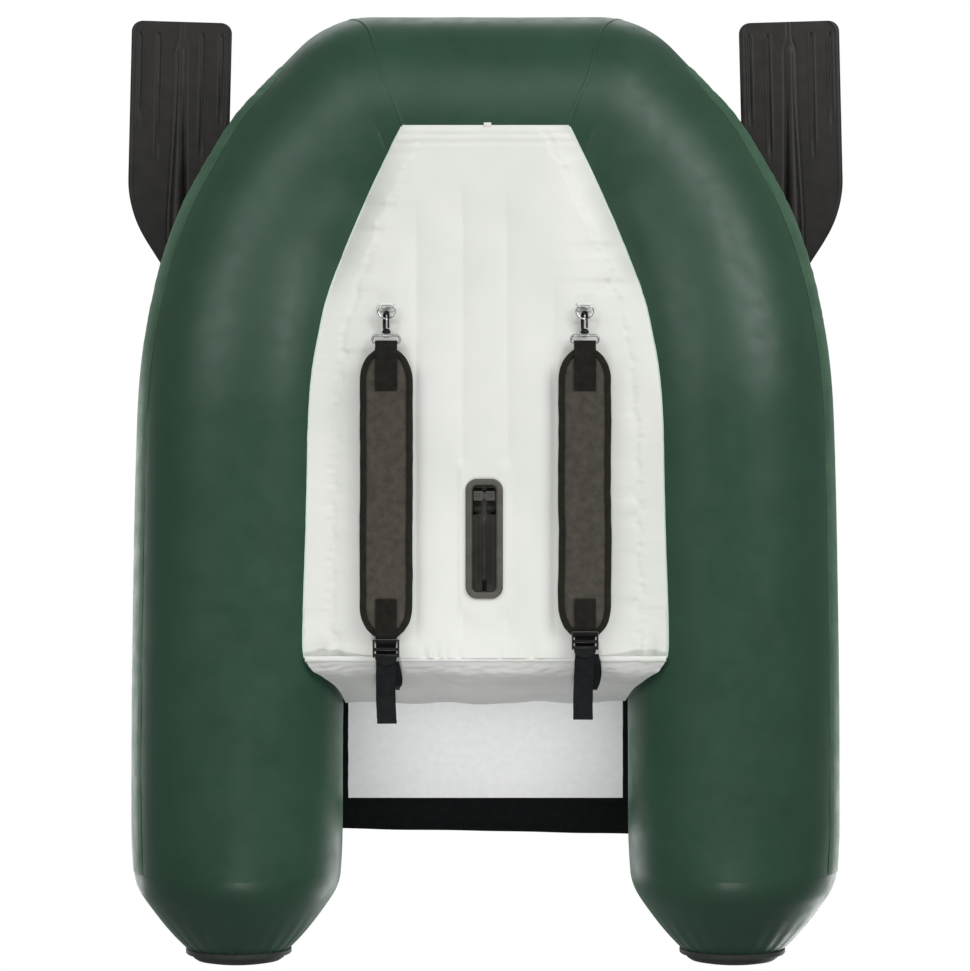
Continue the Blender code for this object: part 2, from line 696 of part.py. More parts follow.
def make_pad(side):
    """Shoulder pad with its sewn webbing, the buckle and the loose strap ends."""
    name = SIDE_NAMES[side]
    x = side * STRAP_X
    width, length, thickness = PAD_SIZE
    end_reach = 0.052
    right = [
        (width / 2 * math.cos(math.radians(a)), length / 2 - end_reach + end_reach * math.sin(math.radians(a)))
        for a in range(0, 91, 15)
    ]
    top = right + [(-px, py) for px, py in reversed(right[:-1])]
    outline = top + [(-px, -py) for px, py in top]
    place = Matrix.Translation((x, PAD_Y, PAD_Z))
    plate(f"{name}_shoulder_pad", outline, -thickness / 2, thickness / 2, "pad_cloth", place)
    under = PAD_Z - thickness / 2 - GAP - WEB_T / 2
    fold_r = LOOP_WIRE_R + 0.0005 + WEB_T / 2
    fold = arc((LOOP_BASE_Y, LOOP_Z), fold_r, -120, 110, 8)
    upper = [(0.1430, under), (0.2110, under)] + fold
    ribbon(f"{name}_upper_webbing", upper, WEB_WIDTH, WEB_T, "black_webbing", x)
    buckle_y = BUCKLE_Y[side]
    bar_y = buckle_y + BUCKLE_SIZE[1] / 2 - BUCKLE_BAR / 2
    fold_r = under - BUCKLE_Z
    lower = [(-0.1780, under)] + arc((bar_y, BUCKLE_Z), fold_r, 90, 290, 8)
    ribbon(f"{name}_lower_webbing", lower, LOWER_WEB_WIDTH, WEB_T, "black_webbing", x)
    make_buckle(side, x, buckle_y)
    tail_start = buckle_y - BUCKLE_SIZE[1] / 2 - 0.0010
    tail = [
        (tail_start, 0.0085),
        (tail_start - 0.020, 0.0080),
        (TAIL_END_Y[side] + 0.030, 0.0090),
        (TAIL_END_Y[side], 0.0110),
    ]
    ribbon(f"{name}_strap_tail", tail, LOWER_WEB_WIDTH, WEB_T, "black_webbing", x)
    anchor = [
        (tail_start, 0.0120),
        (tail_start - 0.012, 0.0160),
        (-0.3080, 0.0420),
        (-0.3210, 0.0700),
    ]
    ribbon(f"{name}_anchor_strap", anchor, LOWER_WEB_WIDTH, WEB_T, "black_webbing", x - 0.0040)


def make_buckle(side, x, y):
    """Ladder-lock buckle: a frame with three bars and a thumb lip."""
    name = SIDE_NAMES[side]
    width, length, height = BUCKLE_SIZE
    outline = rounded_outline(width, length, 0.004, 2, (x, y))
    low, high = BUCKLE_Z - height / 2, BUCKLE_Z + height / 2
    buckle = plate(f"{name}_ladder_buckle", outline, low, high, "black_plastic")
    inner = length / 2 - BUCKLE_BAR
    for slot, (near, far) in enumerate(((0.0040, inner), (-inner, -0.0020))):
        slot_low = (x - width / 2 + BUCKLE_BAR, y + near, low - 0.01)
        slot_high = (x + width / 2 - BUCKLE_BAR, y + far, high + 0.01)
        boolean(buckle, block(f"{name}_buckle_slot_{slot}", slot_low, slot_high, None))


# ---------------------------------------------------------------- oars
def blade_half_width(y):
    """Half the blade's width at a place along the oar."""
    taper_end = 0.5050
    if y < taper_end:
        part = (y - BLADE_ROOT_Y) / (taper_end - BLADE_ROOT_Y)
        return 0.0185 + (BLADE_HALF_WIDTH - 0.0185) * math.sin(part * math.pi / 2)
    corner = y - (BLADE_TIP_Y - BLADE_CORNER_R)
    if corner <= 0:
        return BLADE_HALF_WIDTH
    rounding = math.sqrt(max(BLADE_CORNER_R**2 - corner**2, 0.0))
    return BLADE_HALF_WIDTH - BLADE_CORNER_R + rounding


def make_oar(side):
    name = SIDE_NAMES[side]
    x = side * OAR_X
    pivot = (x, OARLOCK_Y, OAR_Z)
    axis = along_y((x, 0, OAR_Z), side)
    shaft_start, shaft_end = OAR_END_Y + GRIP_LENGTH + GAP, BLADE_ROOT_Y - GAP
    shaft = cylinder(f"{name}_oar_shaft", SHAFT_R, shaft_start, shaft_end, "aluminium", axis)
    up = Matrix.Translation((x, BUTTON_Y, OAR_Z))
    recess = cylinder(f"{name}_button_recess", BUTTON_R + GAP, 0.0045, 0.03, None, up, 12)
    boolean(shaft, recess)
    button_top = SHAFT_R + BUTTON_PROUD
    button = cylinder(f"{name}_oar_button", BUTTON_R, 0.0085, button_top, "steel", up, 12)
    grip_profile = [
        (0.0, OAR_END_Y + GRIP_LENGTH),
        (0.0160, OAR_END_Y + GRIP_LENGTH),
        (GRIP_R, OAR_END_Y + GRIP_LENGTH - 0.012),
        (GRIP_R - 0.0015, OAR_END_Y + GRIP_LENGTH / 2),
        (GRIP_R + 0.0020, OAR_END_Y + 0.012),
        (0.0150, OAR_END_Y + 0.002),
        (0.0, OAR_END_Y),
    ]
    grip = turned(f"{name}_oar_grip", grip_profile, "black_rubber", axis, 20)
    steps = [BLADE_ROOT_Y, 0.37, 0.40, 0.43, 0.46, 0.505, BLADE_TIP_Y - BLADE_CORNER_R]
    steps += [BLADE_TIP_Y - BLADE_CORNER_R * (1 - math.sin(math.radians(a))) for a in (30, 60, 90)]
    outline = [(blade_half_width(y), y) for y in steps]
    outline += [(-half, y) for half, y in reversed(outline)]
    flat = Matrix.Translation((x, 0, OAR_Z))
    blade = plate(
        f"{name}_oar_blade", outline, -BLADE_T / 2, BLADE_T / 2, "blade_plastic", flat
    )
    spine = cylinder(
        f"{name}_blade_spine",
        0.0165,
        BLADE_ROOT_Y + 0.0001,
        BLADE_TIP_Y - 0.060,
        None,
        axis,
        16,
        0.0050,
    )
    boolean(blade, spine, "UNION")
    for piece in (shaft, grip, blade):
        shade_round(piece)
        move_origin(piece, pivot)
    shade_round(button)


def make_oarlock(side):
    """Base on the tube's shoulder, fork on its canted pin, collar in the fork."""
    name = SIDE_NAMES[side]
    place = oarlock_frame(side)
    fork_floor = -0.0340
    boss_top = fork_floor - FORK_T - GAP
    base_profile = [
        (0.0, boss_top + 0.0200 - 0.0120),
        (0.0080, boss_top + 0.0080),
        (0.0080, boss_top),
        (0.0200, boss_top),
        (0.0240, boss_top - 0.0160),
        (0.0480, boss_top - 0.0300),
        (0.0480, boss_top - 0.0700),
        (0.0, boss_top - 0.0700),
    ]
    base = turned(f"{name}_oarlock_base", base_profile, "black_rubber", place)
    boolean(base, bpy.data.objects["tube_cutter"])
    arm_in, arm_out = COLLAR_R + 0.0025, COLLAR_R + 0.0025 + FORK_T
    outline = [
        (arm_out, 0.010),
        (arm_in, 0.010),
        (arm_in, fork_floor + 0.010),
        (arm_in - 0.010, fork_floor),
        (-arm_in + 0.010, fork_floor),
        (-arm_in, fork_floor + 0.010),
        (-arm_in, 0.010),
        (-arm_out, 0.010),
        (-arm_out, fork_floor),
        (-arm_out + 0.008, fork_floor - FORK_T),
        (arm_out - 0.008, fork_floor - FORK_T),
        (arm_out, fork_floor),
    ]
    upright = place @ Matrix.Rotation(math.pi / 2, 4, "X")
    half = FORK_WIDTH / 2
    fork = plate(f"{name}_oarlock_fork", outline, -half, half, "black_plastic", upright)
    pin_hole = cylinder(f"{name}_pin_hole", 0.0080 + GAP, -0.06, 0.0, None, place, 16)
    sideways = place @ Matrix.Rotation(math.pi / 2, 4, "Y")
    trunnion_hole = cylinder(
        f"{name}_trunnion_hole", TRUNNION_R + GAP, -0.05, 0.05, None, sideways, 16
    )
    boolean(fork, pin_hole)
    boolean(fork, trunnion_hole)
    axis = place @ Matrix.Rotation(-math.pi / 2, 4, "X")
    half = COLLAR_LENGTH / 2
    collar = cylinder(f"{name}_oar_collar", COLLAR_R, -half, half, "black_plastic", axis)
    trunnions = cylinder(
        f"{name}_trunnions", TRUNNION_R, -TRUNNION_REACH, TRUNNION_REACH, None, sideways, 16
    )
    bore = cylinder(f"{name}_collar_bore", SHAFT_R + 0.0005, -0.1, 0.1, None, axis)
    boolean(collar, trunnions, "UNION")
    boolean(collar, bore)
    for piece in (base, fork, collar):
        shade_round(piece)


# ---------------------------------------------------------------- apron and fittings
def make_apron():
    hinge = (-APRON_HALF_WIDTH - 0.002, sum(APRON_Y) / 2, APRON_Z + 0.0155)
    low = (-APRON_HALF_WIDTH, APRON_BAR_Y[1] + GAP, APRON_Z)
    high = (APRON_HALF_WIDTH, APRON_Y[1], APRON_Z + APRON_T)
    panel = block("apron_panel", low, high, "white_pvc")
    low = (-APRON_HALF_WIDTH, APRON_BAR_Y[0], APRON_Z)
    high = (APRON_HALF_WIDTH, APRON_BAR_Y[1], APRON_Z + APRON_BAR_T)
    bar = block("apron_bar", low, high, "black_webbing", 0.003)
    for piece in (panel, bar):
        move_origin(piece, hinge)


def make_valve(side):
    """Air valve on the inner shoulder of a side tube, with a hinged cap."""
    name = SIDE_NAMES[side]
    out = Vector((-side * math.sin(VALVE_TURN), 0, math.cos(VALVE_TURN)))
    centre_x = interpolate([(y, x) for x, y in CENTRE_LINE[:5]], VALVE_Y)
    foot = Vector((side * centre_x, VALVE_Y, TUBE_R)) + out * (TUBE_R + 0.0012)
    y_axis = Vector((0, 1, 0))
    place = frame(foot, y_axis.cross(out), y_axis, out)
    flange = [
        (0.0, 0.0100),
        (0.0200, 0.0100),
        (0.0200, 0.0055),
        (VALVE_FLANGE_R, 0.0040),
        (VALVE_FLANGE_R, 0.0),
        (0.0, 0.0),
    ]
    turned(f"{name}_valve_base", flange, "black_plastic", place)
    cap = [
        (0.0, 0.0180),
        (0.0230, 0.0180),
        (VALVE_CAP_R, 0.0150),
        (VALVE_CAP_R, 0.0103),
        (0.0, 0.0103),
    ]
    lid = turned(f"{name}_valve_cap", cap, "black_plastic", place)
    move_origin(lid, place @ Vector((0, -0.030, 0.0115)))


def make_handle():
    """Webbing grab handle across the bow."""
    top = tube_z(BOW_Y) + TUBE_R + 0.0005 + HANDLE_T / 2
    half = [
        (HANDLE_HALF_LENGTH, top),
        (0.0700, top),
        (0.0560, top + 0.0120),
        (0.0400, top + 0.0260),
        (0.0150, top + 0.0330),
    ]
    path = half + [(-x, z) for x, z in reversed(half)]
    strip = ribbon("bow_handle", path, HANDLE_WIDTH, HANDLE_T, "black_webbing")
    strip.matrix_world = frame((0, BOW_Y, 0), (1, 0, 0), (0, 0, 1), (0, -1, 0))


def main():
    clear_scene()
    tube_cutter = hull_tube("tube_cutter", TUBE_CLEARANCE, None)
    make_tubes()
    make_sterns()
    make_floor(tube_cutter)
    make_flap(tube_cutter)
    make_cushions(tube_cutter)
    make_fin_box()
    for side in (STARBOARD, PORT):
        make_strap_anchor(side)
        make_hook(side)
        make_pad(side)
        make_oarlock(side)
        make_oar(side)
        make_valve(side)
    make_apron()
    make_handle()


main()
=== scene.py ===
"""Looks of the inflatable float tube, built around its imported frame.

Metres, +Z up, +Y towards the closed bow, +X to starboard, as in the frame. The camera
is under the boat and looks straight up at its floor.
"""

import functools
import math

import bmesh
import bpy
from mathutils import Matrix, Vector, noise


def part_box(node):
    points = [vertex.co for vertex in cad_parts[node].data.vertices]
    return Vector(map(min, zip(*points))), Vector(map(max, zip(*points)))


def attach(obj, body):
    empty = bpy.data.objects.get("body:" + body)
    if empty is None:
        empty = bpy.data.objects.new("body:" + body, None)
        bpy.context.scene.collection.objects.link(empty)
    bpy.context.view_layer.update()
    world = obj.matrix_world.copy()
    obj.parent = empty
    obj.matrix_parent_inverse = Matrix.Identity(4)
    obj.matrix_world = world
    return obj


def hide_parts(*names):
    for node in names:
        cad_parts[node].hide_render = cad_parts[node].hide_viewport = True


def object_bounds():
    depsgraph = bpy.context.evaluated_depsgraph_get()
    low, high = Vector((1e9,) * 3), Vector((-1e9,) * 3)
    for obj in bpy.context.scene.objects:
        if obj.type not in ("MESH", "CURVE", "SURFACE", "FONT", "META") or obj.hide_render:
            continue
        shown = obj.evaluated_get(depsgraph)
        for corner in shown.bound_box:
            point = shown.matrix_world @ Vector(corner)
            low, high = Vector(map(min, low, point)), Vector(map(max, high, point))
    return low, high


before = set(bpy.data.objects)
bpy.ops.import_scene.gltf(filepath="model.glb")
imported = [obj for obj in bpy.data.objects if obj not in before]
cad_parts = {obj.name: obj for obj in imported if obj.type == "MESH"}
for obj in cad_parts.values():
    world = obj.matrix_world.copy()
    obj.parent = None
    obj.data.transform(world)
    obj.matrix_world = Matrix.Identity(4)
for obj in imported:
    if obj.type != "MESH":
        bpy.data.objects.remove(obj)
cad_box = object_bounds()

SIDES = {"starboard": 1, "port": -1}
MM = 0.001


# ---------------------------------------------------------------- camera, light, floor
VIEW_HEIGHT = 1.541  # metres covered at the camera's distance
CAMERA_DISTANCE = 5.0
CAMERA_XY = (0.0008, -0.0034)
AIM_Z = 0.1665


def make_camera():
    data = bpy.data.cameras.new("camera")
    data.lens = data.sensor_width * CAMERA_DISTANCE / VIEW_HEIGHT
    camera = bpy.data.objects.new("camera", data)
    camera.location = (*CAMERA_XY, AIM_Z - CAMERA_DISTANCE)
    camera.rotation_euler = (0, math.pi, 0)  # looks up, with the bow at the top
    bpy.context.scene.collection.objects.link(camera)
    bpy.context.scene.camera = camera


def add_light(name, place, target, size, power, spread=180):
    """A soft rectangular light; power in watts, spread in degrees."""
    data = bpy.data.lights.new(name, "AREA")
    data.shape = "RECTANGLE"
    data.size, data.size_y = size
    data.energy = power
    data.spread = math.radians(spread)
    light = bpy.data.objects.new(name, data)
    light.location = place
    aim = Vector(target) - Vector(place)
    light.rotation_euler = aim.to_track_quat("-Z", "Y").to_euler()
    bpy.context.scene.collection.objects.link(light)


def make_lights():
    """Soft boxes under the boat, mostly off the bow, and fill over its topside."""
    add_light("under_bow", (-2.0, 1.7, -2.1), (0, 0.1, 0.1), (1.8, 1.8), 55)
    add_light("under_front", (0, 2.5, -3.0), (0, 0.4, 0.1), (3.4, 2.4), 34)
    add_light("under_fill", (1.9, 1.4, -2.2), (0, 0.1, 0.1), (1.8, 1.8), 30)
    add_light("under_stern", (0, -2.0, -2.2), (0, -0.30, 0.12), (0.5, 0.3), 0.95, 30)
    add_light("under_apron", (0, -0.46, -0.6), (0, -0.42, 0.3), (0.42, 0.10), 0.082, 20)
    add_light("over_left", (-1.9, -1.6, 2.6), (0, 0, 0.2), (2.0, 2.0), 38)
    add_light("over_right", (2.0, -0.6, 2.4), (0, 0, 0.2), (1.8, 1.8), 26)
    add_light("over_back", (0.2, 2.2, 2.2), (0, 0.2, 0.2), (2.4, 1.2), 14)


def make_world():
    """White behind the boat, and a softer white where it lights and is mirrored."""
    world = bpy.data.worlds.new("studio")
    bpy.context.scene.world = world
    world.use_nodes = True
    tree = world.node_tree
    tree.nodes.clear()
    fill = add(tree, "ShaderNodeBackground", {"Color": (1, 1, 1, 1), "Strength": 0.25})
    white = add(tree, "ShaderNodeBackground", {"Color": (1, 1, 1, 1), "Strength": 1.0})
    ray = add(tree, "ShaderNodeLightPath")
    both = add(
        tree,
        "ShaderNodeMixShader",
        {0: ray.outputs["Is Camera Ray"], 1: fill.outputs[0], 2: white.outputs[0]},
    )
    add(tree, "ShaderNodeOutputWorld", {"Surface": both.outputs[0]})


def make_ground():
    """A pale floor that shows from above and is clear from below."""
    bm = bmesh.new()
    bmesh.ops.create_grid(bm, x_segments=1, y_segments=1, size=40.0)
    bmesh.ops.translate(bm, vec=(0, 0, cad_box[0].z - 0.001), verts=bm.verts)
    mesh = bpy.data.meshes.new("ground")
    bm.to_mesh(mesh)
    bm.free()
    ground = bpy.data.objects.new("ground", mesh)
    bpy.context.scene.collection.objects.link(ground)
    for unseen in ("diffuse", "glossy", "transmission", "shadow", "volume_scatter"):
        setattr(ground, f"visible_{unseen}", False)
    made = bpy.data.materials.new("matt_backdrop_paper")
    made.use_nodes = True
    tree = made.node_tree
    paper = tree.nodes["Principled BSDF"]
    paper.inputs["Base Color"].default_value = linear("f4f4f2")
    paper.inputs["Roughness"].default_value = 0.9
    clear = add(tree, "ShaderNodeBsdfTransparent")
    facing = add(tree, "ShaderNodeNewGeometry")
    both = add(
        tree,
        "ShaderNodeMixShader",
        {0: facing.outputs["Backfacing"], 1: paper.outputs[0], 2: clear.outputs[0]},
    )
    tree.links.new(both.outputs[0], tree.nodes["Material Output"].inputs["Surface"])
    mesh.materials.append(made)


# ---------------------------------------------------------------- materials
def linear(code):
    """An sRGB hex colour as linear red, green, blue and alpha."""
    parts = [int(code[i : i + 2], 16) / 255 for i in (0, 2, 4)]
    curve = [p / 12.92 if p <= 0.04045 else ((p + 0.055) / 1.055) ** 2.4 for p in parts]
    return (*curve, 1.0)


def add(tree, kind, inputs=None, **settings):
    """Add a node. Each input is a value, or another node's output to link."""
    made = tree.nodes.new(kind)
    for name, value in settings.items():
        setattr(made, name, value)
    for key, value in (inputs or {}).items():
        if isinstance(value, bpy.types.NodeSocket):
            tree.links.new(value, made.inputs[key])
        else:
            made.inputs[key].default_value = value
    return made


def start_material(name, roughness, **sockets):
    """A named material with plain socket values; also its tree, shader and coordinates."""
    made = bpy.data.materials.new(name)
    made.use_nodes = True
    tree = made.node_tree
    shader = tree.nodes["Principled BSDF"]
    shader.inputs["Roughness"].default_value = roughness
    for socket, value in sockets.items():
        shader.inputs[socket.replace("_", " ")].default_value = value
    coords = add(tree, "ShaderNodeTexCoord")
    return made, tree, shader, coords.outputs["Object"]


def mottle(tree, shader, place, size, low, high, contrast=1.0, detail=3.0):
    """Colour that drifts between two hex values over patches of the given size."""
    spots = add(
        tree,
        "ShaderNodeTexNoise",
        {"Vector": place, "Scale": 1 / size, "Detail": detail, "Roughness": 0.55},
    )
    half = 0.22 / contrast
    share = add(
        tree,
        "ShaderNodeMapRange",
        {"Value": spots.outputs[0], "From Min": 0.5 - half, "From Max": 0.5 + half},
    )
    colour = add(
        tree,
        "ShaderNodeMix",
        {0: share.outputs[0], 6: linear(low), 7: linear(high)},
        data_type="RGBA",
    )
    tree.links.new(colour.outputs[2], shader.inputs["Base Color"])
    return colour.outputs[2]


def emboss(tree, shader, height, depth, strength=1.0, under=None):
    """Relief of the given depth in metres from a height between 0 and 1."""
    inputs = {"Height": height, "Distance": depth, "Strength": strength}
    if under is not None:
        inputs["Normal"] = under
    bump = add(tree, "ShaderNodeBump", inputs)
    tree.links.new(bump.outputs[0], shader.inputs["Normal"])
    return bump.outputs[0]


def coated_fabric(name, low, high, roughness, specular, patch=0.09, bloom=None):
    """PVC calendered onto a woven polyester scrim: a satin skin with the scrim showing
    through as a faint grid, and slow drifts of tone."""
    made, tree, shader, place = start_material(
        name, roughness, Specular_IOR_Level=specular, IOR=1.35
    )
    if bloom:  # the plasticiser's bloom lightens the sheet towards its outline
        shader.inputs["Sheen Weight"].default_value = 0.5
        shader.inputs["Sheen Roughness"].default_value = 0.4
        shader.inputs["Sheen Tint"].default_value = linear(bloom)
    mottle(tree, shader, place, patch, low, high)
    # the scrim's threads are 1 mm apart; drawn at 3 mm, so that they show
    grain = add(
        tree,
        "ShaderNodeTexVoronoi",
        {"Vector": place, "Scale": 1 / (3 * MM)},
        feature="SMOOTH_F1",
    )
    fine = emboss(tree, shader, grain.outputs["Distance"], 0.05 * MM, 0.35)
    # handling leaves shallow ripples about 30 mm across
    ripple = add(
        tree,
        "ShaderNodeTexNoise",
        {"Vector": place, "Scale": 1 / (30 * MM), "Detail": 2.0},
    )
    emboss(tree, shader, ripple.outputs[0], 0.5 * MM, 0.35, fine)
    rough = add(
        tree,
        "ShaderNodeMapRange",
        {
            "Value": ripple.outputs[0],
            "From Min": 0.3,
            "From Max": 0.7,
            "To Min": roughness - 0.05,
            "To Max": roughness + 0.07,
        },
    )
    tree.links.new(rough.outputs[0], shader.inputs["Roughness"])
    return made


def woven(name, low, high, roughness, thread, sheen=0.05):
    """Woven yarn: ribs the thread's width apart, crossed by a second set."""
    made, tree, shader, place = start_material(
        name, roughness, Specular_IOR_Level=0.12, Sheen_Weight=sheen, Sheen_Roughness=0.5
    )
    mottle(tree, shader, place, 12 * MM, low, high, 1.3)
    waves = []
    for axis, width in (("Y", thread), ("X", 1.4 * thread)):
        waves.append(
            add(
                tree,
                "ShaderNodeTexWave",
                # a wave texture repeats every 2 pi / 20 units at scale 1
                {"Vector": place, "Scale": math.pi / (10 * width), "Distortion": 0.6},
                bands_direction=axis,
            )
        )
    crossed = add(
        tree,
        "ShaderNodeMath",
        {0: waves[0].outputs["Fac"], 1: waves[1].outputs["Fac"]},
        operation="MULTIPLY",
    )
    emboss(tree, shader, crossed.outputs[0], 0.35 * MM, 0.7)
    return made


def moulded(name, low, high, roughness, grain=0.8 * MM, depth=0.06 * MM, specular=0.25):
    """Injection moulded plastic or rubber: an even spark-eroded grain."""
    made, tree, shader, place = start_material(name, roughness, Specular_IOR_Level=specular)
    mottle(tree, shader, place, 25 * MM, low, high)
    pits = add(tree, "ShaderNodeTexNoise", {"Vector": place, "Scale": 1 / grain, "Detail": 2.0})
    emboss(tree, shader, pits.outputs[0], depth, 0.5)
    return made


def metal(name, low, high, roughness, streak):
    """Drawn or plated metal: fine lines run along the piece."""
    made, tree, shader, place = start_material(name, roughness, Metallic=1.0)
    mottle(tree, shader, place, 15 * MM, low, high)
    turned = add(
        tree,
        "ShaderNodeMapping",
        {"Vector": place, "Scale": (1 / streak, 0.02 / streak, 1 / streak)},
    )
    lines = add(tree, "ShaderNodeTexNoise", {"Vector": turned.outputs[0], "Scale": 1.0})
    rough = add(
        tree,
        "ShaderNodeMapRange",
        {
            "Value": lines.outputs[0],
            "To Min": max(roughness - 0.06, 0.02),
            "To Max": roughness + 0.10,
        },
    )
    tree.links.new(rough.outputs[0], shader.inputs["Roughness"])
    return made


def make_finishes():
    """Every finish of the boat, by the name the pieces use."""
    return {
        # calendered PVC on polyester scrim, bottle green, satin
        "green": coated_fabric("green_coated_pvc", "264333", "2c4a39", 0.40, 0.62, 0.09, "4f7a62"),
        # welded strips of the same sheet; their lighter green is partly painted sheen, standing in
        # for the pale rim along the tube's outline
        "green_tape_painted_sheen": coated_fabric(
            "welded_tape_painted_sheen", "34533f", "45664f", 0.45, 0.5, 0.05, "6f9a82"
        ),
        # white and light grey grades of the same sheet
        "white": coated_fabric("white_coated_pvc", "dadcd6", "e4e5e0", 0.5, 0.35, 0.16),
        "white_edge": coated_fabric("mint_cut_edge", "c0d6c8", "d4e4da", 0.5, 0.35),
        "grey": coated_fabric("grey_coated_pvc", "c4c5c3", "cecfcd", 0.5, 0.3),
        "cushion": coated_fabric("grey_cushion_pvc", "8e9390", "9da19e", 0.45, 0.4),
        # 600 denier polyester, dyed charcoal
        "pad": woven("charcoal_polyester", "3f3b35", "4d4841", 0.85, 2.2 * MM, 0.25),
        # grosgrain tape folded over the raw edge
        "binding": woven("binding_tape", "1c1c17", "26261f", 0.8, 2.0 * MM),
        # plain weave polyester webbing
        "webbing": woven("polyester_webbing", "171613", "22201c", 0.8, 2.6 * MM),
        "webbing_cool": woven("wet_webbing", "0c1011", "161a1a", 0.75, 2.6 * MM),
        "mesh": woven("white_apron_cloth", "efeff0", "f4f4f5", 0.8, 2.4 * MM, 0.1),
        "black_cloth": woven("black_oxford_cloth", "060a0b", "0c1011", 0.8, 2.4 * MM, 0),
        # spark-eroded mouldings
        "rubber": moulded("moulded_rubber", "353a37", "424743", 0.6, 1.2 * MM, 0.1 * MM),
        "abs": moulded("black_acetal", "0f1011", "191a1b", 0.32),
        # light grey acetal, a painted highlight for the buckle frame's bevelled edges
        "abs_painted_highlight": moulded("acetal_painted_highlight", "5c5c5a", "6e6e6b", 0.42),
        "fin": moulded("grey_nylon", "4c4b46", "5c5b55", 0.5),
        # the grey nylon made darker as painted shade for the fin box's cavity
        "fin_painted_shade": moulded("nylon_painted_shade", "1b1a17", "292823", 0.42),
        "blade": moulded("black_polypropylene", "1b1917", "272523", 0.42, 1.0 * MM),
        "foam": moulded("eva_foam", "17181a", "202123", 0.85, 1.5 * MM, 0.25 * MM, 0.3),
        # chrome plate and black zinc on drawn wire, and an anodised tube
        "chrome": metal("chrome_plated_wire", "c8cacb", "e0e2e2", 0.14, 0.4 * MM),
        "zinc": metal("black_zinc_plate", "1d1e1f", "303133", 0.34, 0.5 * MM),
        "aluminium": metal("anodised_aluminium", "9a9da0", "b2b5b7", 0.34, 0.3 * MM),
        "steel": metal("turned_steel", "a3a5a6", "bcbebf", 0.25, 0.3 * MM),
    }


# ---------------------------------------------------------------- shape helpers
def clamp(value, low=0.0, high=1.0):
    """The value, kept between low and high."""
    return min(max(value, low), high)


def ease(value):
    """A smooth step from 0 to 1."""
    value = clamp(value)
    return value * value * (3 - 2 * value)


def hump(value, centre, half_width):
    """1 at the centre, and 0 beyond the half width."""
    return ease(1 - abs(value - centre) / half_width)


def ripple(point, size, seed=0.0):
    """Smooth noise from -1 to 1 with features of the given size."""
    return noise.noise(Vector(point) / size + Vector((seed, 1.7 * seed, -seed)))


def read(table, place):
    """Read (place, value, ...) rows with a smooth curve; gives a number or a tuple."""
    last = len(table) - 1
    place = clamp(place, table[0][0], table[last][0])
    row = max(i for i in range(last) if table[i][0] <= place or i == 0)
    rows = [table[clamp(row + step, 0, last)] for step in (-1, 0, 1, 2)]
    before, low, high, after = rows
    span = high[0] - low[0]
    part = (place - low[0]) / span
    out = []
    for k in range(1, len(low)):
        slope_low = (high[k] - before[k]) / (high[0] - before[0]) * span
        slope_high = (after[k] - low[k]) / (after[0] - low[0]) * span
        out.append(
            (2 * part**3 - 3 * part**2 + 1) * low[k]
            + (part**3 - 2 * part**2 + part) * slope_low
            + (3 * part**2 - 2 * part**3) * high[k]
            + (part**3 - part**2) * slope_high
        )
    return out[0] if len(out) == 1 else tuple(out)


def laid_grid(columns, rows, place):
    """A grid laid on a surface: place(u, v) gives each point, both from 0 to 1."""
    bm = bmesh.new()
    made = bmesh.ops.create_grid(bm, x_segments=columns, y_segments=rows, size=0.5)
    for vert in made["verts"]:
        vert.co = place(vert.co.x + 0.5, vert.co.y + 0.5)
    return bm


def close_up(bm, merge=0.00002):
    """Merge the seam, keep each open rim sharp, fill it and turn the faces outward."""
    bmesh.ops.remove_doubles(bm, verts=bm.verts, dist=merge)
    bmesh.ops.dissolve_degenerate(bm, edges=bm.edges, dist=merge / 2)
    rims = [edge for edge in bm.edges if edge.is_boundary]
    for edge in rims:
        edge.smooth = False
    if rims:
        bmesh.ops.holes_fill(bm, edges=rims, sides=0)
    bmesh.ops.recalc_face_normals(bm, faces=bm.faces)
    return bm


def thicken(bm, thickness):
    """Give an open sheet its thickness, both ways from where it lies."""
    bmesh.ops.remove_doubles(bm, verts=bm.verts, dist=0.00002)
    bmesh.ops.recalc_face_normals(bm, faces=bm.faces)
    for vert in bm.verts:
        vert.co += vert.normal * (thickness / 2)
    bmesh.ops.solidify(bm, geom=bm.faces[:], thickness=thickness)
    bmesh.ops.recalc_face_normals(bm, faces=bm.faces)
    return bm


def piece(name, bm, finish, body="hull", replaces=(), sharp=40):
    """Make the finished object, give it its finish, and put it on its body."""
    mesh = bpy.data.meshes.new(name)
    bm.to_mesh(mesh)
    bm.free()
    mesh.materials.append(FINISHES[finish])
    rims = [edge.index for edge in mesh.edges if edge.use_edge_sharp]
    mesh.shade_smooth()
    mesh.set_sharp_from_angle(angle=math.radians(sharp))
    for index in rims:
        mesh.edges[index].use_edge_sharp = True
    obj = bpy.data.objects.new(name, mesh)
    bpy.context.scene.collection.objects.link(obj)
    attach(obj, body)
    if replaces:
        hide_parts(*([replaces] if isinstance(replaces, str) else replaces))
    return obj


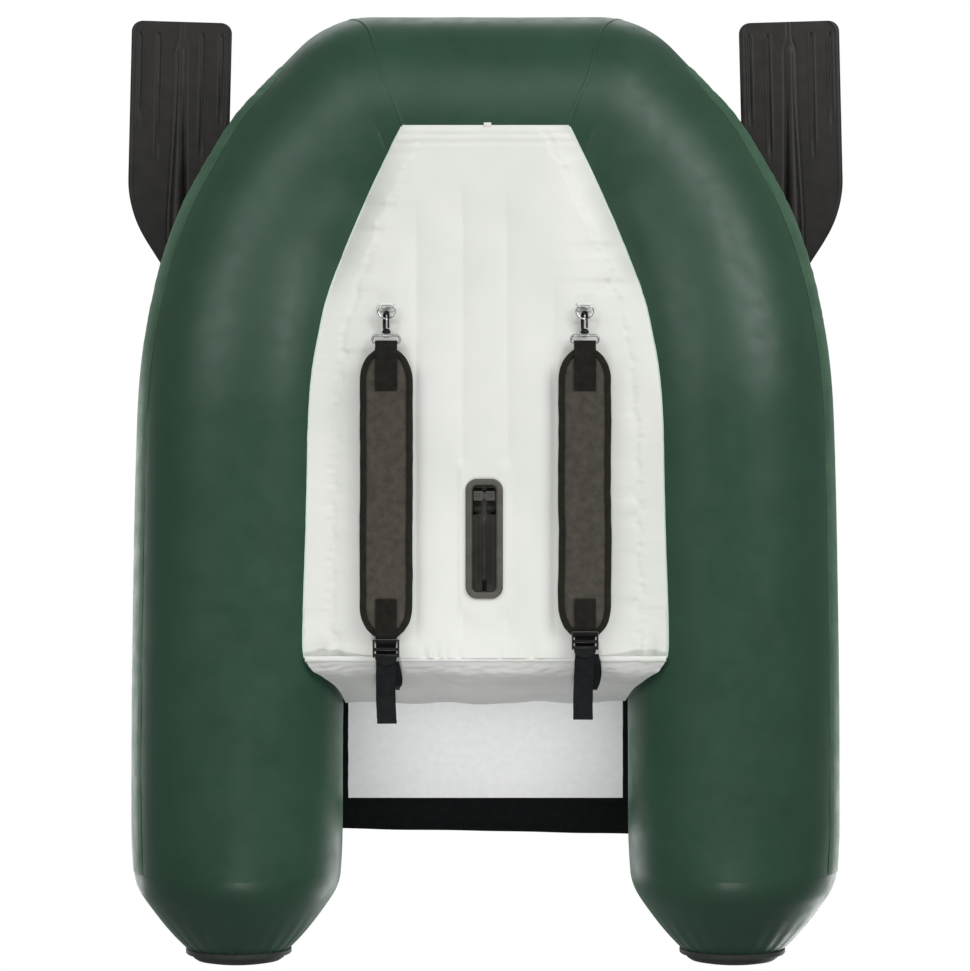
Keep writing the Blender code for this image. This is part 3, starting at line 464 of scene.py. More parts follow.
def rod(points, radius, sides=12, closed=False):
    """A round bar along a smooth curve through the points; radius may be a function."""
    points = [Vector(p) for p in points]
    count = len(points)
    spans = count if closed else count - 1
    per_span = 4

    def on_curve(t):
        span = min(int(t), spans - 1)
        part = t - span
        if closed:
            p0, p1, p2, p3 = (points[(span + k) % count] for k in (-1, 0, 1, 2))
        else:
            p0, p1, p2, p3 = (points[clamp(span + k, 0, count - 1)] for k in (-1, 0, 1, 2))
        return 0.5 * (
            2 * p1
            + (p2 - p0) * part
            + (2 * p0 - 5 * p1 + 4 * p2 - p3) * part**2
            + (3 * p1 - p0 - 3 * p2 + p3) * part**3
        )

    rows = spans * per_span
    line = [on_curve(i * spans / rows) for i in range(rows + 1)]
    if closed:
        line[-1] = line[0]
    tangents = []
    for i in range(rows + 1):
        ahead = line[(i + 1) % rows] if closed else line[min(i + 1, rows)]
        behind = line[(i - 1) % rows] if closed else line[max(i - 1, 0)]
        tangents.append((ahead - behind).normalized())
    side = tangents[0].orthogonal().normalized()
    frames = []
    for tangent in tangents:
        side = (side - tangent * side.dot(tangent)).normalized()
        frames.append((side.copy(), tangent.cross(side)))
    if closed:
        frames[-1] = frames[0]

    def place(u, v):
        i = round(v * rows)
        a, b = frames[i]
        r = radius(v) if callable(radius) else radius
        turn = u * math.tau
        return line[i] + a * (r * math.cos(turn)) + b * (r * math.sin(turn))

    return close_up(laid_grid(sides, rows, place), 0.000005)


def lathe(profile, matrix, sides=48, bm=None):
    """A turned form from (radius, height) rows about the matrix's z axis."""
    bm = bmesh.new() if bm is None else bm
    before = set(bm.verts)
    verts = [bm.verts.new((max(radius, 0.0), 0, height)) for radius, height in profile]
    edges = [bm.edges.new(pair) for pair in zip(verts, verts[1:])]
    bmesh.ops.spin(
        bm,
        geom=verts + edges,
        cent=(0, 0, 0),
        axis=(0, 0, 1),
        angle=math.tau,
        steps=sides,
        use_merge=True,
    )
    fresh = [vert for vert in bm.verts if vert not in before]
    bmesh.ops.transform(bm, matrix=matrix, verts=fresh)
    return close_up(bm, 0.00001)


def bar(low, high, bevel, bm=None, matrix=None, segments=3):
    """A block with rounded edges."""
    bm = bmesh.new() if bm is None else bm
    made = bmesh.ops.create_cube(bm, size=1.0)
    size = [high[i] - low[i] for i in range(3)]
    centre = [(high[i] + low[i]) / 2 for i in range(3)]
    bmesh.ops.scale(bm, vec=size, verts=made["verts"])
    bmesh.ops.translate(bm, vec=centre, verts=made["verts"])
    if matrix is not None:
        bmesh.ops.transform(bm, matrix=matrix, verts=made["verts"])
    edges = {edge for vert in made["verts"] for edge in vert.link_edges}
    bmesh.ops.bevel(
        bm,
        geom=list(edges),
        offset=bevel,
        segments=segments,
        profile=0.5,
        affect="EDGES",
        material=-1,
    )
    return bm


def axes(origin, x_axis, y_axis, z_axis):
    """The matrix that takes the world's axes to these."""
    turn = Matrix((x_axis, y_axis, z_axis)).transposed().to_4x4()
    return Matrix.Translation(origin) @ turn


def refined(name, node, finish, body, bevel):
    """A frame node's own shape with its hard edges rounded."""
    bm = bmesh.new()
    bm.from_mesh(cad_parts[node].data)
    bmesh.ops.remove_doubles(bm, verts=bm.verts, dist=0.00002)
    bmesh.ops.dissolve_limit(bm, angle_limit=math.radians(2), verts=bm.verts, edges=bm.edges)
    hard = [
        edge
        for edge in bm.edges
        if len(edge.link_faces) == 2 and edge.calc_face_angle(0) > math.radians(25)
    ]
    bmesh.ops.bevel(
        bm,
        geom=hard,
        offset=bevel,
        segments=2,
        profile=0.5,
        affect="EDGES",
        material=-1,
        clamp_overlap=True,
    )
    return piece(name, bm, finish, body, node, 35)


# ---------------------------------------------------------------- the hull's surface
TUBE_R = 0.1665
CENTRE_LINE = [  # starboard half of the U, from the stern to the bow corner
    (0.3930, -0.6137), (0.3925, -0.3500), (0.3890, -0.1000), (0.3855, 0.0500), (0.3810, 0.1500),
    (0.3720, 0.2250), (0.3570, 0.3000), (0.3340, 0.3700), (0.3030, 0.4300), (0.2700, 0.4850),
    (0.2345, 0.5240),
]
CORNER = Vector((0.1800, 0.5810))
BOW_NORMAL = Vector((0.0, 1.0))
BOW_RISE, RISE_START_Y = 0.065, 0.10
STERN_TAPER, STERN_TAPER_LENGTH = 0.0034, 0.080
SIDE_SEAM_Y = 0.10


def tube_z(y):
    """Height of the tube's middle, which climbs towards the bow."""
    return TUBE_R + BOW_RISE * ease((y - RISE_START_Y) / (CORNER.y - RISE_START_Y))


def plot_course():
    """Stations of the starboard centre line: (length, x, y), up to the corner."""
    dense = []
    table = [(i, *point) for i, point in enumerate([*CENTRE_LINE, tuple(CORNER)])]
    per_span = 12
    for step in range((len(table) - 1) * per_span + 1):
        dense.append(Vector(read(table, step / per_span)))
    stations, run = [(0.0, *dense[0])], 0.0
    for before, after in zip(dense, dense[1:]):
        run += (after - before).length
        stations.append((run, *after))
    return stations


COURSE = plot_course()
QUARTER_END = COURSE[-1][0]
SIDE_LENGTH = next(run for run, x, y in COURSE if y >= SIDE_SEAM_Y)


def course_at(run):
    """(place, direction) on the starboard centre line."""
    run = clamp(run, 0.0, QUARTER_END)
    step = 0.012
    low, high = max(run - step, 0.0), min(run + step, QUARTER_END)

    def place(at):
        i = min(int(len(COURSE) * at / QUARTER_END), len(COURSE) - 2)
        while i > 0 and COURSE[i][0] > at:
            i -= 1
        while i < len(COURSE) - 2 and COURSE[i + 1][0] < at:
            i += 1
        a, b = COURSE[i], COURSE[i + 1]
        part = (at - a[0]) / (b[0] - a[0])
        return Vector((a[1] + (b[1] - a[1]) * part, a[2] + (b[2] - a[2]) * part))

    return place(run), (place(high) - place(low)).normalized()


QUARTER_WAY = course_at(QUARTER_END)[1]
QUARTER_NORMAL = Vector((QUARTER_WAY.y, -QUARTER_WAY.x))
MITRE_WAY = (QUARTER_WAY + Vector((-1.0, 0.0))).normalized()
MITRE_NORMAL = Vector((MITRE_WAY.y, -MITRE_WAY.x))
HALF_TURN = QUARTER_WAY.angle(MITRE_WAY)
FAN_LENGTH = TUBE_R * 2 * HALF_TURN  # round the outside of the corner
BOW_START = QUARTER_END + FAN_LENGTH
HULL_LENGTH = BOW_START + CORNER.x  # from the stern to the middle of the bow


def hull_point(run, angle, lift=0.0, side=1):
    """A point on the hull: run from the stern, angle 0 outboard, 90 degrees straight
    down. Round the corner the outside fans out and the inside meets in a mitre."""
    radius = TUBE_R + lift - STERN_TAPER * clamp(1 - run / STERN_TAPER_LENGTH) ** 2
    across = radius * math.cos(angle)
    if run <= QUARTER_END:
        centre, way = course_at(run)
        normal = Vector((way.y, -way.x))
        spot = centre + normal * across
        ahead = (spot - CORNER).dot(MITRE_WAY)
        if ahead > 0 and run > SIDE_LENGTH:
            spot -= way * (ahead / way.dot(MITRE_WAY))
    elif run < BOW_START:
        centre = CORNER
        share = (run - QUARTER_END) / FAN_LENGTH
        if across >= 0:
            turn = Matrix.Rotation(2 * HALF_TURN * share, 2)
            spot = centre + turn @ QUARTER_NORMAL * across
        else:
            spot = centre + MITRE_NORMAL * (across / math.cos(HALF_TURN))
    else:
        centre = Vector((CORNER.x - (run - BOW_START), CORNER.y))
        spot = centre + BOW_NORMAL * across
        ahead = (spot - CORNER).dot(MITRE_WAY)
        if ahead < 0:
            spot.x += ahead / math.cos(HALF_TURN)
    height = tube_z(centre.y) - radius * math.sin(angle)
    return Vector((side * spot.x, spot.y, height))


def hull_under(x, y):
    """Height of the hull's underside over a point, or its middle height outside it."""
    x = abs(x)
    near = min(COURSE, key=lambda s: (s[1] - x) ** 2 + (s[2] - y) ** 2)
    gap, centre_y = math.hypot(near[1] - x, near[2] - y), near[2]
    if x < CORNER.x:
        gap, centre_y = min((gap, centre_y), (abs(y - CORNER.y), CORNER.y))
    return tube_z(centre_y) - math.sqrt(max(TUBE_R**2 - gap**2, 0.0))


def slack(point):
    """Slow unevenness of inflated sheet, under a millimetre."""
    return 0.0007 * ripple(point, 0.11, 3.0) + 0.0003 * ripple(point, 0.03, 8.0)


ROUND = 96  # points round a tube


def skin(name, replaces, run_low, run_high, rows, side):
    """One length of tube, closed at both ends where it meets the next."""
    def place(u, v):
        run = run_low + (run_high - run_low) * v
        angle = u * math.tau
        plain = hull_point(run, angle, 0.0, side)
        return hull_point(run, angle, slack(plain), side)

    bm = close_up(laid_grid(ROUND, rows, place))
    return piece(name, bm, "green", "hull", replaces, 60)


def make_hull():
    """The green tube in five lengths, and its two stern ends."""
    corner = QUARTER_END + FAN_LENGTH / 2
    for name, side in SIDES.items():
        skin(f"{name}_side_skin", f"{name}_side_tube", 0.0, SIDE_LENGTH, 70, side)
        skin(f"{name}_quarter_skin", f"{name}_quarter_tube", SIDE_LENGTH, corner, 70, side)
        make_stern(name, side)

    def bow(u, v):
        side = 1 if v < 0.5 else -1
        run = corner + (HULL_LENGTH - corner) * (1 - abs(2 * v - 1))
        angle = u * math.tau
        plain = hull_point(run, angle, 0.0, side)
        return hull_point(run, angle, slack(plain), side)

    piece(
        "bow_skin", close_up(laid_grid(ROUND, 80, bow)), "green", "hull",
        "bow_tube", 60,
    )


CONE_PROFILE = [  # (share of the cone's depth, radius)
    (0.0, 0.1631), (0.06, 0.1623), (0.13, 0.1604), (0.20, 0.1574), (0.28, 0.1528), (0.41, 0.1424),
    (0.55, 0.1301), (0.70, 0.1158), (0.84, 0.1008), (1.0, 0.0815),
]
CONE_DEPTH, CONE_LIFT = 0.1250, 0.020


def make_stern(name, side):
    """Stern cone and its moulded end cap."""
    x, y = CENTRE_LINE[0]

    def cone(u, v):
        radius = read(CONE_PROFILE, v)
        angle = u * math.tau
        plain = Vector(
            (
                side * (x + radius * math.cos(angle)),
                y - CONE_DEPTH * v,
                TUBE_R + CONE_LIFT * v - radius * math.sin(angle),
            )
        )
        # the gathered end is slightly pleated
        pleat = 0.0008 * ease((v - 0.35) / 0.6) * math.sin(26 * angle)
        return plain + Vector((side * math.cos(angle), 0, -math.sin(angle))) * (
            slack(plain) * (1 - v) + pleat
        )

    bm = close_up(laid_grid(ROUND * 2, 36, cone))
    piece(f"{name}_cone_skin", bm, "green", "hull", f"{name}_stern_cone", 60)

    low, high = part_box(f"{name}_end_cap")
    centre = Vector(((low.x + high.x) / 2, 0, (low.z + high.z) / 2))
    rim = (high.x - low.x) / 2
    depth = high.y - low.y
    profile = [
        (rim - 0.010, 0.002),
        (rim - 0.003, 0.0015),
        (rim, -0.001),
        (rim, -0.0065),
        (rim - 0.0020, -0.0085),
        (rim - 0.0080, -0.0095),
        (rim - 0.0110, -0.0110),
        (rim - 0.0120, -0.0145),
        (rim - 0.0180, -0.0185),
        (rim * 0.62, -depth * 0.90),
        (rim * 0.40, -depth * 0.985),
        (rim * 0.18, -depth),
        (0.0, -depth),
    ]
    along = axes((centre.x, high.y, centre.z), (1, 0, 0), (0, 0, -1), (0, 1, 0))
    cap = lathe(profile, along, 72)
    piece(f"{name}_cap", cap, "rubber", "hull", f"{name}_end_cap", 50)


def seam_tape(name, side, stations, width, proud, pucker, rows, finish="green_tape_painted_sheen"):
    """A welded strip along (share, run, angle) stations, its edges sunk in the skin."""

    def place(u, v):
        run, angle = read(stations, v)
        ahead_run, ahead_angle = read(stations, min(v + 0.01, 1.0))
        back_run, back_angle = read(stations, max(v - 0.01, 0.0))
        way = Vector((ahead_run - back_run, TUBE_R * (ahead_angle - back_angle)))
        way.normalize()
        spot = hull_point(run, angle, 0.0, side)
        edge = abs(2 * u - 1)
        wander = 0.0006 * ripple(spot, 0.02, 2.0) if edge > 0.9 else 0.0
        shift = (u - 0.5) * width + wander
        run += -way.y * shift
        angle += way.x * shift / TUBE_R
        pleats = ripple((spot.x, spot.y, spot.z), 0.009, 5.0)
        gather = pucker * pleats * (0.15 + 0.85 * ease((spot.y - 0.18) / 0.15))
        lift = proud * ease((1 - edge) / 0.25) - 0.0004 * ease(edge * 4 - 3)
        lift += gather * ease((1 - edge) / 0.5)
        return hull_point(run, angle, lift + 0.0004, side)

    bm = thicken(laid_grid(10, rows, place), 0.0006)
    return piece(name, bm, finish, "hull", (), 60)


def make_seams():
    degree = math.radians(1)
    for name, side in SIDES.items():
        # bow seam: from the floor's corner outward round the tube, and on over the top
        half = [
            (BOW_START + 0.052, 100),
            (BOW_START + 0.036, 84),
            (BOW_START + 0.018, 69),
            (BOW_START - 0.003, 38),
            (BOW_START - 0.039, 4),
            (BOW_START - 0.039, -20),
            (BOW_START - 0.003, -60),
            (BOW_START + 0.030, -110),
        ]
        last = len(half) - 1
        stations = [(i / last, run, turn * degree) for i, (run, turn) in enumerate(half)]
        seam_tape(f"{name}_bow_seam", side, stations, 0.0050, 0.0004, 0.0, 90, "green")
        # wide strip round the outside, gathered into pleats as it takes the quarter; its lighter
        # green is partly a painted highlight along the tube's outline
        course = [
            (0.0, 0.002, 15), (0.35, 0.42, 15), (0.55, SIDE_LENGTH, 15),
            (0.75, SIDE_LENGTH + 0.24, 16), (0.90, QUARTER_END - 0.12, 14),
            (1.0, QUARTER_END - 0.045, 8),
        ]
        stations = [(share, run, turn * degree) for share, run, turn in course]
        seam_tape(f"{name}_rub_strip", side, stations, 0.086, 0.0008, 0.0010, 420)


# ---------------------------------------------------------------- floor and flap
FLOOR_OUTLINE = [  # (y, half width), from the rear edge to the bow
    (-0.2700, 0.2795), (-0.2520, 0.2815), (-0.1700, 0.2800), (-0.0985, 0.2775), (0.0000, 0.2750),
    (0.1005, 0.2728), (0.1735, 0.2674), (0.2305, 0.2580), (0.2875, 0.2458), (0.3495, 0.2241),
    (0.4065, 0.2010), (0.4655, 0.1747), (0.5225, 0.1469), (0.5570, 0.1290),
]
FLOOR_Z, FLOOR_BOW_Z = 0.033, 0.060
REAR_Y, FRONT_Y = FLOOR_OUTLINE[0][0], FLOOR_OUTLINE[-1][0]
BAND = 0.042  # width of the strip that joins the floor to the tubes
VALLEYS = [  # (x, y where it starts near the bow): the stitched lines between air beams
    (0.1073, 0.455), (0.0363, 0.490), (-0.0332, 0.470), (-0.1058, 0.355),
]
VALLEY_DEPTH, VALLEY_REACH = 0.0064, 0.017  # how deep a stitched line pulls, and how wide
TURN_UP = 0.0140  # how far the sides turn up towards the tubes
EDGE_PROUD = 0.0014  # the strip's edge stands this far off the tube
SHEET_T = 0.0009
FIN_X, FIN_Y = 0.002, -0.0855


def floor_height(y):
    """Height of the floor's bottom sheet, which climbs with the bow."""
    climb = ease((y - RISE_START_Y) / (FRONT_Y - RISE_START_Y))
    return FLOOR_Z + (FLOOR_BOW_Z - FLOOR_Z) * climb


PUCKERS = [  # (x, reach from the rear weld, half width, height): + dents, - ridges
    (0.0950, 0.022, 0.006, 0.0032), (0.0840, 0.026, 0.005, -0.0020), (0.0750, 0.030, 0.007, 0.0036),
    (0.0610, 0.020, 0.005, 0.0026), (0.0425, 0.024, 0.008, 0.0030), (-0.0224, 0.018, 0.006, 0.0024),
    (-0.0703, 0.034, 0.008, 0.0032), (-0.0860, 0.020, 0.005, -0.0018),
    (0.2560, 0.040, 0.012, 0.0045), (0.2420, 0.044, 0.009, -0.0036), (0.2270, 0.034, 0.010, 0.0040),
    (-0.2310, 0.030, 0.009, 0.0030), (-0.2460, 0.052, 0.008, -0.0036),
    (-0.2590, 0.040, 0.009, 0.0042),
]


def band_start(y, sign):
    """Where the joining strip begins: stepped, as the weld gathers the cloth."""
    step = 0.019
    at = y / step + 0.37 * sign
    low = math.floor(at)
    before, after = (noise.noise((k * 1.7, 3.1 * sign, 0.4)) for k in (low, low + 1))
    jump = before + (after - before) * ease((at - low) * 2.5)
    return 0.0085 * jump + 0.0010 * ripple((sign, y, 0), 0.014, 9.0)


@functools.cache
def edge_height(y):
    """Height of the tubes along the floor's edge."""
    return hull_under(read(FLOOR_OUTLINE, y), y)


def plain_sheet(x, y):
    """(height, where the strip starts, share of the way across the strip)."""
    half = read(FLOOR_OUTLINE, y)
    out = abs(x)
    start = half - BAND + band_start(y, 1 if x > 0 else -1)
    # the sides turn up towards the tubes
    turn_up = clamp((min(out, start) / start - 0.45) / 0.55) ** 2
    z = floor_height(y) + TURN_UP * turn_up * ease((0.44 - y) / 0.18)
    into_band = clamp((out - start) / (half - start))
    rise = 0.45 * into_band + 0.55 * into_band**2
    return z + (edge_height(y) - EDGE_PROUD - z) * rise, start, into_band


def make_floor():
    """The bottom sheet, with its air beams, creases, and the hole over the fin box."""

    def place(u, v):
        y = REAR_Y + (FRONT_Y - REAR_Y) * v
        x = (2 * u - 1) * read(FLOOR_OUTLINE, y)
        out = abs(x)
        sign = 1 if x > 0 else -1
        z, start, into_band = plain_sheet(x, y)
        # the crease beside the strip, with small pleats running off it
        z += 0.0014 * hump(out, start, 0.010)
        pleats = ripple((0.2 * x, y, sign), 0.008, 11.0)
        z += 0.0016 * pleats * hump(out, start + 0.004, 0.013)
        # air beams: soft crests between the stitched valleys
        for valley, begins in VALLEYS:
            reach = ease((begins - y) / 0.09) * ease((y - REAR_Y) / 0.05)
            wander = 0.0015 * ripple((valley, y, 0), 0.12, 1.0)
            z += VALLEY_DEPTH * reach * math.exp(-abs(x - valley - wander) / VALLEY_REACH)
        z -= 0.0020 * max(1 - (x / start) ** 2, 0.0) * ease((FRONT_Y - y) / 0.15)
        # hem folds across the front
        for hem, deep in ((FRONT_Y - 0.014, 0.0016), (FRONT_Y - 0.027, 0.0012)):
            line = hem + 0.0015 * ripple((x, 0, 0), 0.05, hem)
            z += deep * hump(y, line, 0.0055)
        # gathers over the rear weld
        for middle, reach, wide, height in PUCKERS:
            if abs(x - middle) < wide and y < REAR_Y + reach:
                near = (REAR_Y + reach - y) / reach
                z += height * near * (1 - abs(x - middle) / wide)
        # overlaps in the strip
        for tick, where in ((-0.1955, 1), (-0.1905, -1)):
            if sign == where and into_band > 0.05:
                z += 0.0012 * ease((tick - y) / 0.0012) * ease(into_band * 5)
        # slow softness of the sheet
        z += 0.0010 * ripple((x, y, 0), 0.06, 2.0) * (into_band < 0.9)
        # the front hem lies against the bow
        at_front = ease((y - FRONT_Y + 0.010) / 0.010)
        z += (min(hull_under(x, y) - 0.0022, 0.068) - z) * at_front
        if y > FRONT_Y - 0.09:
            z = min(z, hull_under(x, y) - 0.0018)
        # the fin box is set into a flat field
        flat = max(abs(x - FIN_X) / 0.036, abs(y - FIN_Y) / 0.102)
        z += (floor_height(y) - z) * ease((1.25 - flat) / 0.25)
        return Vector((x, y, z))

    bm = laid_grid(190, 250, place)
    bmesh.ops.remove_doubles(bm, verts=bm.verts, dist=0.00002)
    hole_x, hole_y = 0.0235, 0.083  # half the hole over the fin box
    for vert in list(bm.verts):
        if abs(vert.co.x - FIN_X) < hole_x and abs(vert.co.y - FIN_Y) < hole_y:
            bm.verts.remove(vert)
    bmesh.ops.recalc_face_normals(bm, faces=bm.faces)
    if sum(face.normal.z for face in bm.faces) > 0:
        bmesh.ops.reverse_faces(bm, faces=bm.faces)
    bmesh.ops.solidify(bm, geom=bm.faces[:], thickness=SHEET_T)
    bmesh.ops.recalc_face_normals(bm, faces=bm.faces)
    piece("floor_skin", bm, "white", "hull", (), 60)


def make_floor_body():
    """The drop-stitched body over the sheet, seen between the tubes from above."""
    top = 0.128

    def deck(u, v):
        y = REAR_Y + (FRONT_Y - REAR_Y) * v
        turn = u * math.tau
        half = read(FLOOR_OUTLINE, y) - 0.012
        mid = (floor_height(y) + 0.004 + top) / 2
        tall = top - mid
        across, up = math.cos(turn), math.sin(turn)
        x = half * math.copysign(abs(across) ** 0.45, across)
        z = mid + tall * math.copysign(abs(up) ** 0.45, up)
        if up >= 0:
            for valley, _ in VALLEYS:
                z -= 0.0045 * hump(x, valley, 0.028)
        elif abs(x - FIN_X) < 0.030 and abs(y - FIN_Y) < 0.094:
            z = max(z, 0.0600)  # pocket for the fin box
        else:
            z = min(max(z, plain_sheet(x, y)[0] + 0.0100), mid)
        return Vector((x, y, z))

    body = close_up(laid_grid(200, 60, deck))
    piece("floor_beams", body, "white", "hull", "air_floor", 60)


def make_floor_edges():
    """The cut edge of the floor's strip: a thin mint line against the green."""
    for name, side in SIDES.items():

        def place(u, v, side=side):
            y = REAR_Y + (FRONT_Y - REAR_Y) * v
            half = read(FLOOR_OUTLINE, y)
            out = half - 0.0006 + 0.0026 * u + 0.0004 * ripple((0, y, side), 0.02)
            rest = hull_under(out, y)
            return Vector((side * out, y, rest - 0.0004 - 0.0006 * (1 - u)))

        bm = thicken(laid_grid(4, 120, place), 0.0006)
        piece(f"{name}_floor_edge", bm, "white_edge", "hull", (), 60)
    tab = bar((-0.009, FRONT_Y - 0.003, 0.0625), (0.003, FRONT_Y + 0.004, 0.0660), 0.001)
    piece("front_tab", tab, "white", "hull", ())


FLAP_PROFILE = [  # (share, y, z) of the outer face, from the floor up to the seat
    (0.0, -0.2700, 0.0345), (0.12, -0.2830, 0.0395), (0.25, -0.2962, 0.0490),
    (0.40, -0.3120, 0.0760), (0.55, -0.3311, 0.1110), (0.70, -0.3440, 0.1500),
    (0.85, -0.3470, 0.2000), (1.0, -0.3440, 0.2550),
]


FLAP_EDGE = [  # (y, half width) as the flap narrows between the tubes
    (-0.3500, 0.2215), (-0.3405, 0.2225), (-0.3251, 0.2285), (-0.3128, 0.2375), (-0.3000, 0.2525),
    (-0.2917, 0.2660), (-0.2886, 0.2695), (-0.2763, 0.2775), (-0.2700, 0.2795),
]


def make_flap():
    """The panel that turns up from the floor to the front of the seat."""

    def place(u, v):
        y, z = read(FLAP_PROFILE, v)
        half = read(FLAP_EDGE, y) + 0.0012 * ripple((0, y, u > 0.5), 0.018, 2.0)
        x = (2 * u - 1) * half
        pleats = ripple((x, 0.0, 0.3 * v), 0.016, 6.0) * math.exp(-4 * v)
        soft = ripple((x, 0.6 * y, 0.6 * z), 0.055, 12.0)
        sag = 0.0022 * math.sin(math.pi * u) * math.sin(math.pi * v)
        push = 0.0030 * pleats + 0.0038 * soft * ease(v * 4) + sag
        return Vector((x, y - push * ease(v * 6), z - 0.5 * push * ease(v * 6)))

    bm = thicken(laid_grid(160, 70, place), 0.0016)
    piece("flap_skin", bm, "grey", "hull", "rear_flap", 60)

    # the raised weld between floor and flap
    def weld(u, v):
        half = 0.279
        x = (2 * v - 1) * half
        edge = abs(2 * u - 1)
        y = REAR_Y - 0.0012 + (u - 0.5) * 0.0075 + 0.0007 * ripple((x, 0, 0), 0.02)
        rise = 0.0014 * (1 - edge**2) + 0.0005 * ripple((x, 0, 0), 0.012, 3.0)
        return Vector((x, y, 0.0345 - rise))

    bm = thicken(laid_grid(8, 260, weld), 0.0008)
    piece("floor_weld", bm, "white", "hull", (), 60)


# ---------------------------------------------------------------- fin box
def rounded_loop(width, length, radius, share):
    """Point and inward normal on a rounded rectangle, share from 0 to 1 round it."""
    straight_x, straight_y = width - 2 * radius, length - 2 * radius
    arc = math.pi / 2 * radius
    total = 2 * (straight_x + straight_y) + 4 * arc
    run = (share % 1.0) * total
    corners = [
        (Vector((width / 2, -straight_y / 2)), Vector((0, 1)), straight_y, 0),
        (Vector((straight_x / 2, length / 2)), Vector((-1, 0)), straight_x, 90),
        (Vector((-width / 2, straight_y / 2)), Vector((0, -1)), straight_y, 180),
        (Vector((-straight_x / 2, -length / 2)), Vector((1, 0)), straight_x, 270),
    ]
    for start, way, straight, turned in corners:
        angle = math.radians(turned)
        outward = Vector((math.cos(angle), math.sin(angle)))
        if run <= straight:
            return start + way * run, -outward
        run -= straight
        if run <= arc:
            turn = angle + run / radius
            normal = Vector((math.cos(turn), math.sin(turn)))
            hub = start + way * straight - outward * radius
            return hub + normal * radius, -normal
        run -= arc
    return corners[0][0], Vector((-1, 0))


def moulding(width, length, radius, profile, centre, steps=120):
    """A rim swept round a rounded rectangle: profile rows are (inward, z)."""
    rows = [(i / (len(profile) - 1), *row) for i, row in enumerate(profile)]
    columns = len(profile) - 1

    def place(u, v):
        spot, inward = rounded_loop(width, length, radius, v)
        _, shift, z = rows[round(u * columns)]
        spot = spot + inward * shift
        return Vector((centre[0] + spot.x, centre[1] + spot.y, z))

    return laid_grid(columns, steps, place)


def make_fin_box():
    low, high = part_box("fin_box")
    size = (high.x - low.x, high.y - low.y)
    face, back, top = low.z, low.z + 0.0045, high.z - 0.003
    profile = [
        (0.0000, back), (0.0000, face + 0.0022), (0.0008, face + 0.0006), (0.0022, face),
        (0.0062, face + 0.0002), (0.0076, face + 0.0012), (0.0082, face + 0.0028),
        (0.0085, face + 0.0080), (0.0087, top),
    ]
    centre = (FIN_X, FIN_Y)
    bm = moulding(*size, 0.0168, profile, centre)
    bmesh.ops.remove_doubles(bm, verts=bm.verts, dist=0.00002)
    rims = [edge for edge in bm.edges if edge.is_boundary]
    inner = [e for e in rims if e.verts[0].co.z > top - 0.001]
    bmesh.ops.edgenet_fill(bm, edges=inner)
    bmesh.ops.recalc_face_normals(bm, faces=bm.faces)
    probe = max(bm.faces, key=lambda f: f.calc_center_median().z)
    if probe.normal.z > 0:
        bmesh.ops.reverse_faces(bm, faces=bm.faces)
    bmesh.ops.solidify(bm, geom=bm.faces[:], thickness=-0.0012)
    bmesh.ops.recalc_face_normals(bm, faces=bm.faces)
    piece("fin_box_shell", bm, "fin", "hull", "fin_box", 40)

    cavity_half = size[0] / 2 - 0.0088
    stern, bow = FIN_Y - size[1] / 2 + 0.0095, FIN_Y + size[1] / 2 - 0.0100
    # lining of the cavity: painted shade, darker, as it is in the box's own shade
    lining = bmesh.new()
    for sign in (1, -1):
        near, far = FIN_X + sign * 0.0032, FIN_X + sign * cavity_half
        x_low, x_high = min(near, far), max(near, far)
        rail_end = stern + 0.119
        bar((x_low, stern, face + 0.003), (x_high, rail_end, face + 0.0075), 0.0007, lining)
        # raised lip along each rail, beside the slot
        lip = FIN_X + sign * 0.0085
        bar(
            (lip - 0.0008, stern + 0.012, face + 0.0020),
            (lip + 0.0008, rail_end - 0.001, face + 0.0040),
            0.0005,
            lining,
        )
        # stepped shoulders at the window
        bar(
            (x_low + 0.002, rail_end + 0.0035, face + 0.0120),
            (x_high - 0.001, rail_end + 0.0120, face + 0.0180),
            0.0010,
            lining,
        )
    piece("fin_rails", lining, "fin_painted_shade", "hull", (), 40)
    # the stop wedge in the cavity carries the same painted shade
    wedge = bmesh.new()
    for half, back_by, lift, bevel in (
        (0.0036, 0.0065, 0.0034, 0.0010), (0.0170, 0.0028, 0.0030, 0.0008),
    ):
        corner = (FIN_X - half, bow - back_by, face + lift)
        bar(corner, (FIN_X + half, bow, 0.0400), bevel, wedge)
    piece("fin_box_stop", wedge, "fin_painted_shade", "hull", (), 40)

    # the sliding lock: two blocks with a slot between, on a common bridge
    low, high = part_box("fin_lock_slider")
    lock = bmesh.new()
    gap = 0.0022
    middle = (low.x + high.x) / 2
    bar((low.x, low.y, low.z + 0.0010), (middle - gap, high.y, high.z), 0.0012, lock)
    bar((middle + gap, low.y, low.z + 0.0010), (high.x, high.y, high.z), 0.0012, lock)
    bar(
        (low.x + 0.002, low.y + 0.002, low.z + 0.004),
        (high.x - 0.002, high.y - 0.002, high.z - 0.0006),
        0.0008,
        lock,
    )
    for sign in (1, -1):
        thumb = middle + sign * 0.0095
        for step in range(4):
            y = low.y + 0.0035 + step * 0.0026
            far = (thumb + 0.0045, y + 0.0012, low.z + 0.0025)
            bar((thumb - 0.0045, y, low.z), far, 0.0004, lock)
    piece("fin_lock", lock, "fin", "fin_lock", "fin_lock_slider", 40)


# ---------------------------------------------------------------- carrying straps
STRAP_X = 0.153
PAD_WIDTH, PAD_LENGTH, PAD_T = 0.081, 0.451, 0.014
PAD_Y, PAD_Z = -0.0155, 0.0200
PAD_END = 0.052
WEB_T = 0.0016


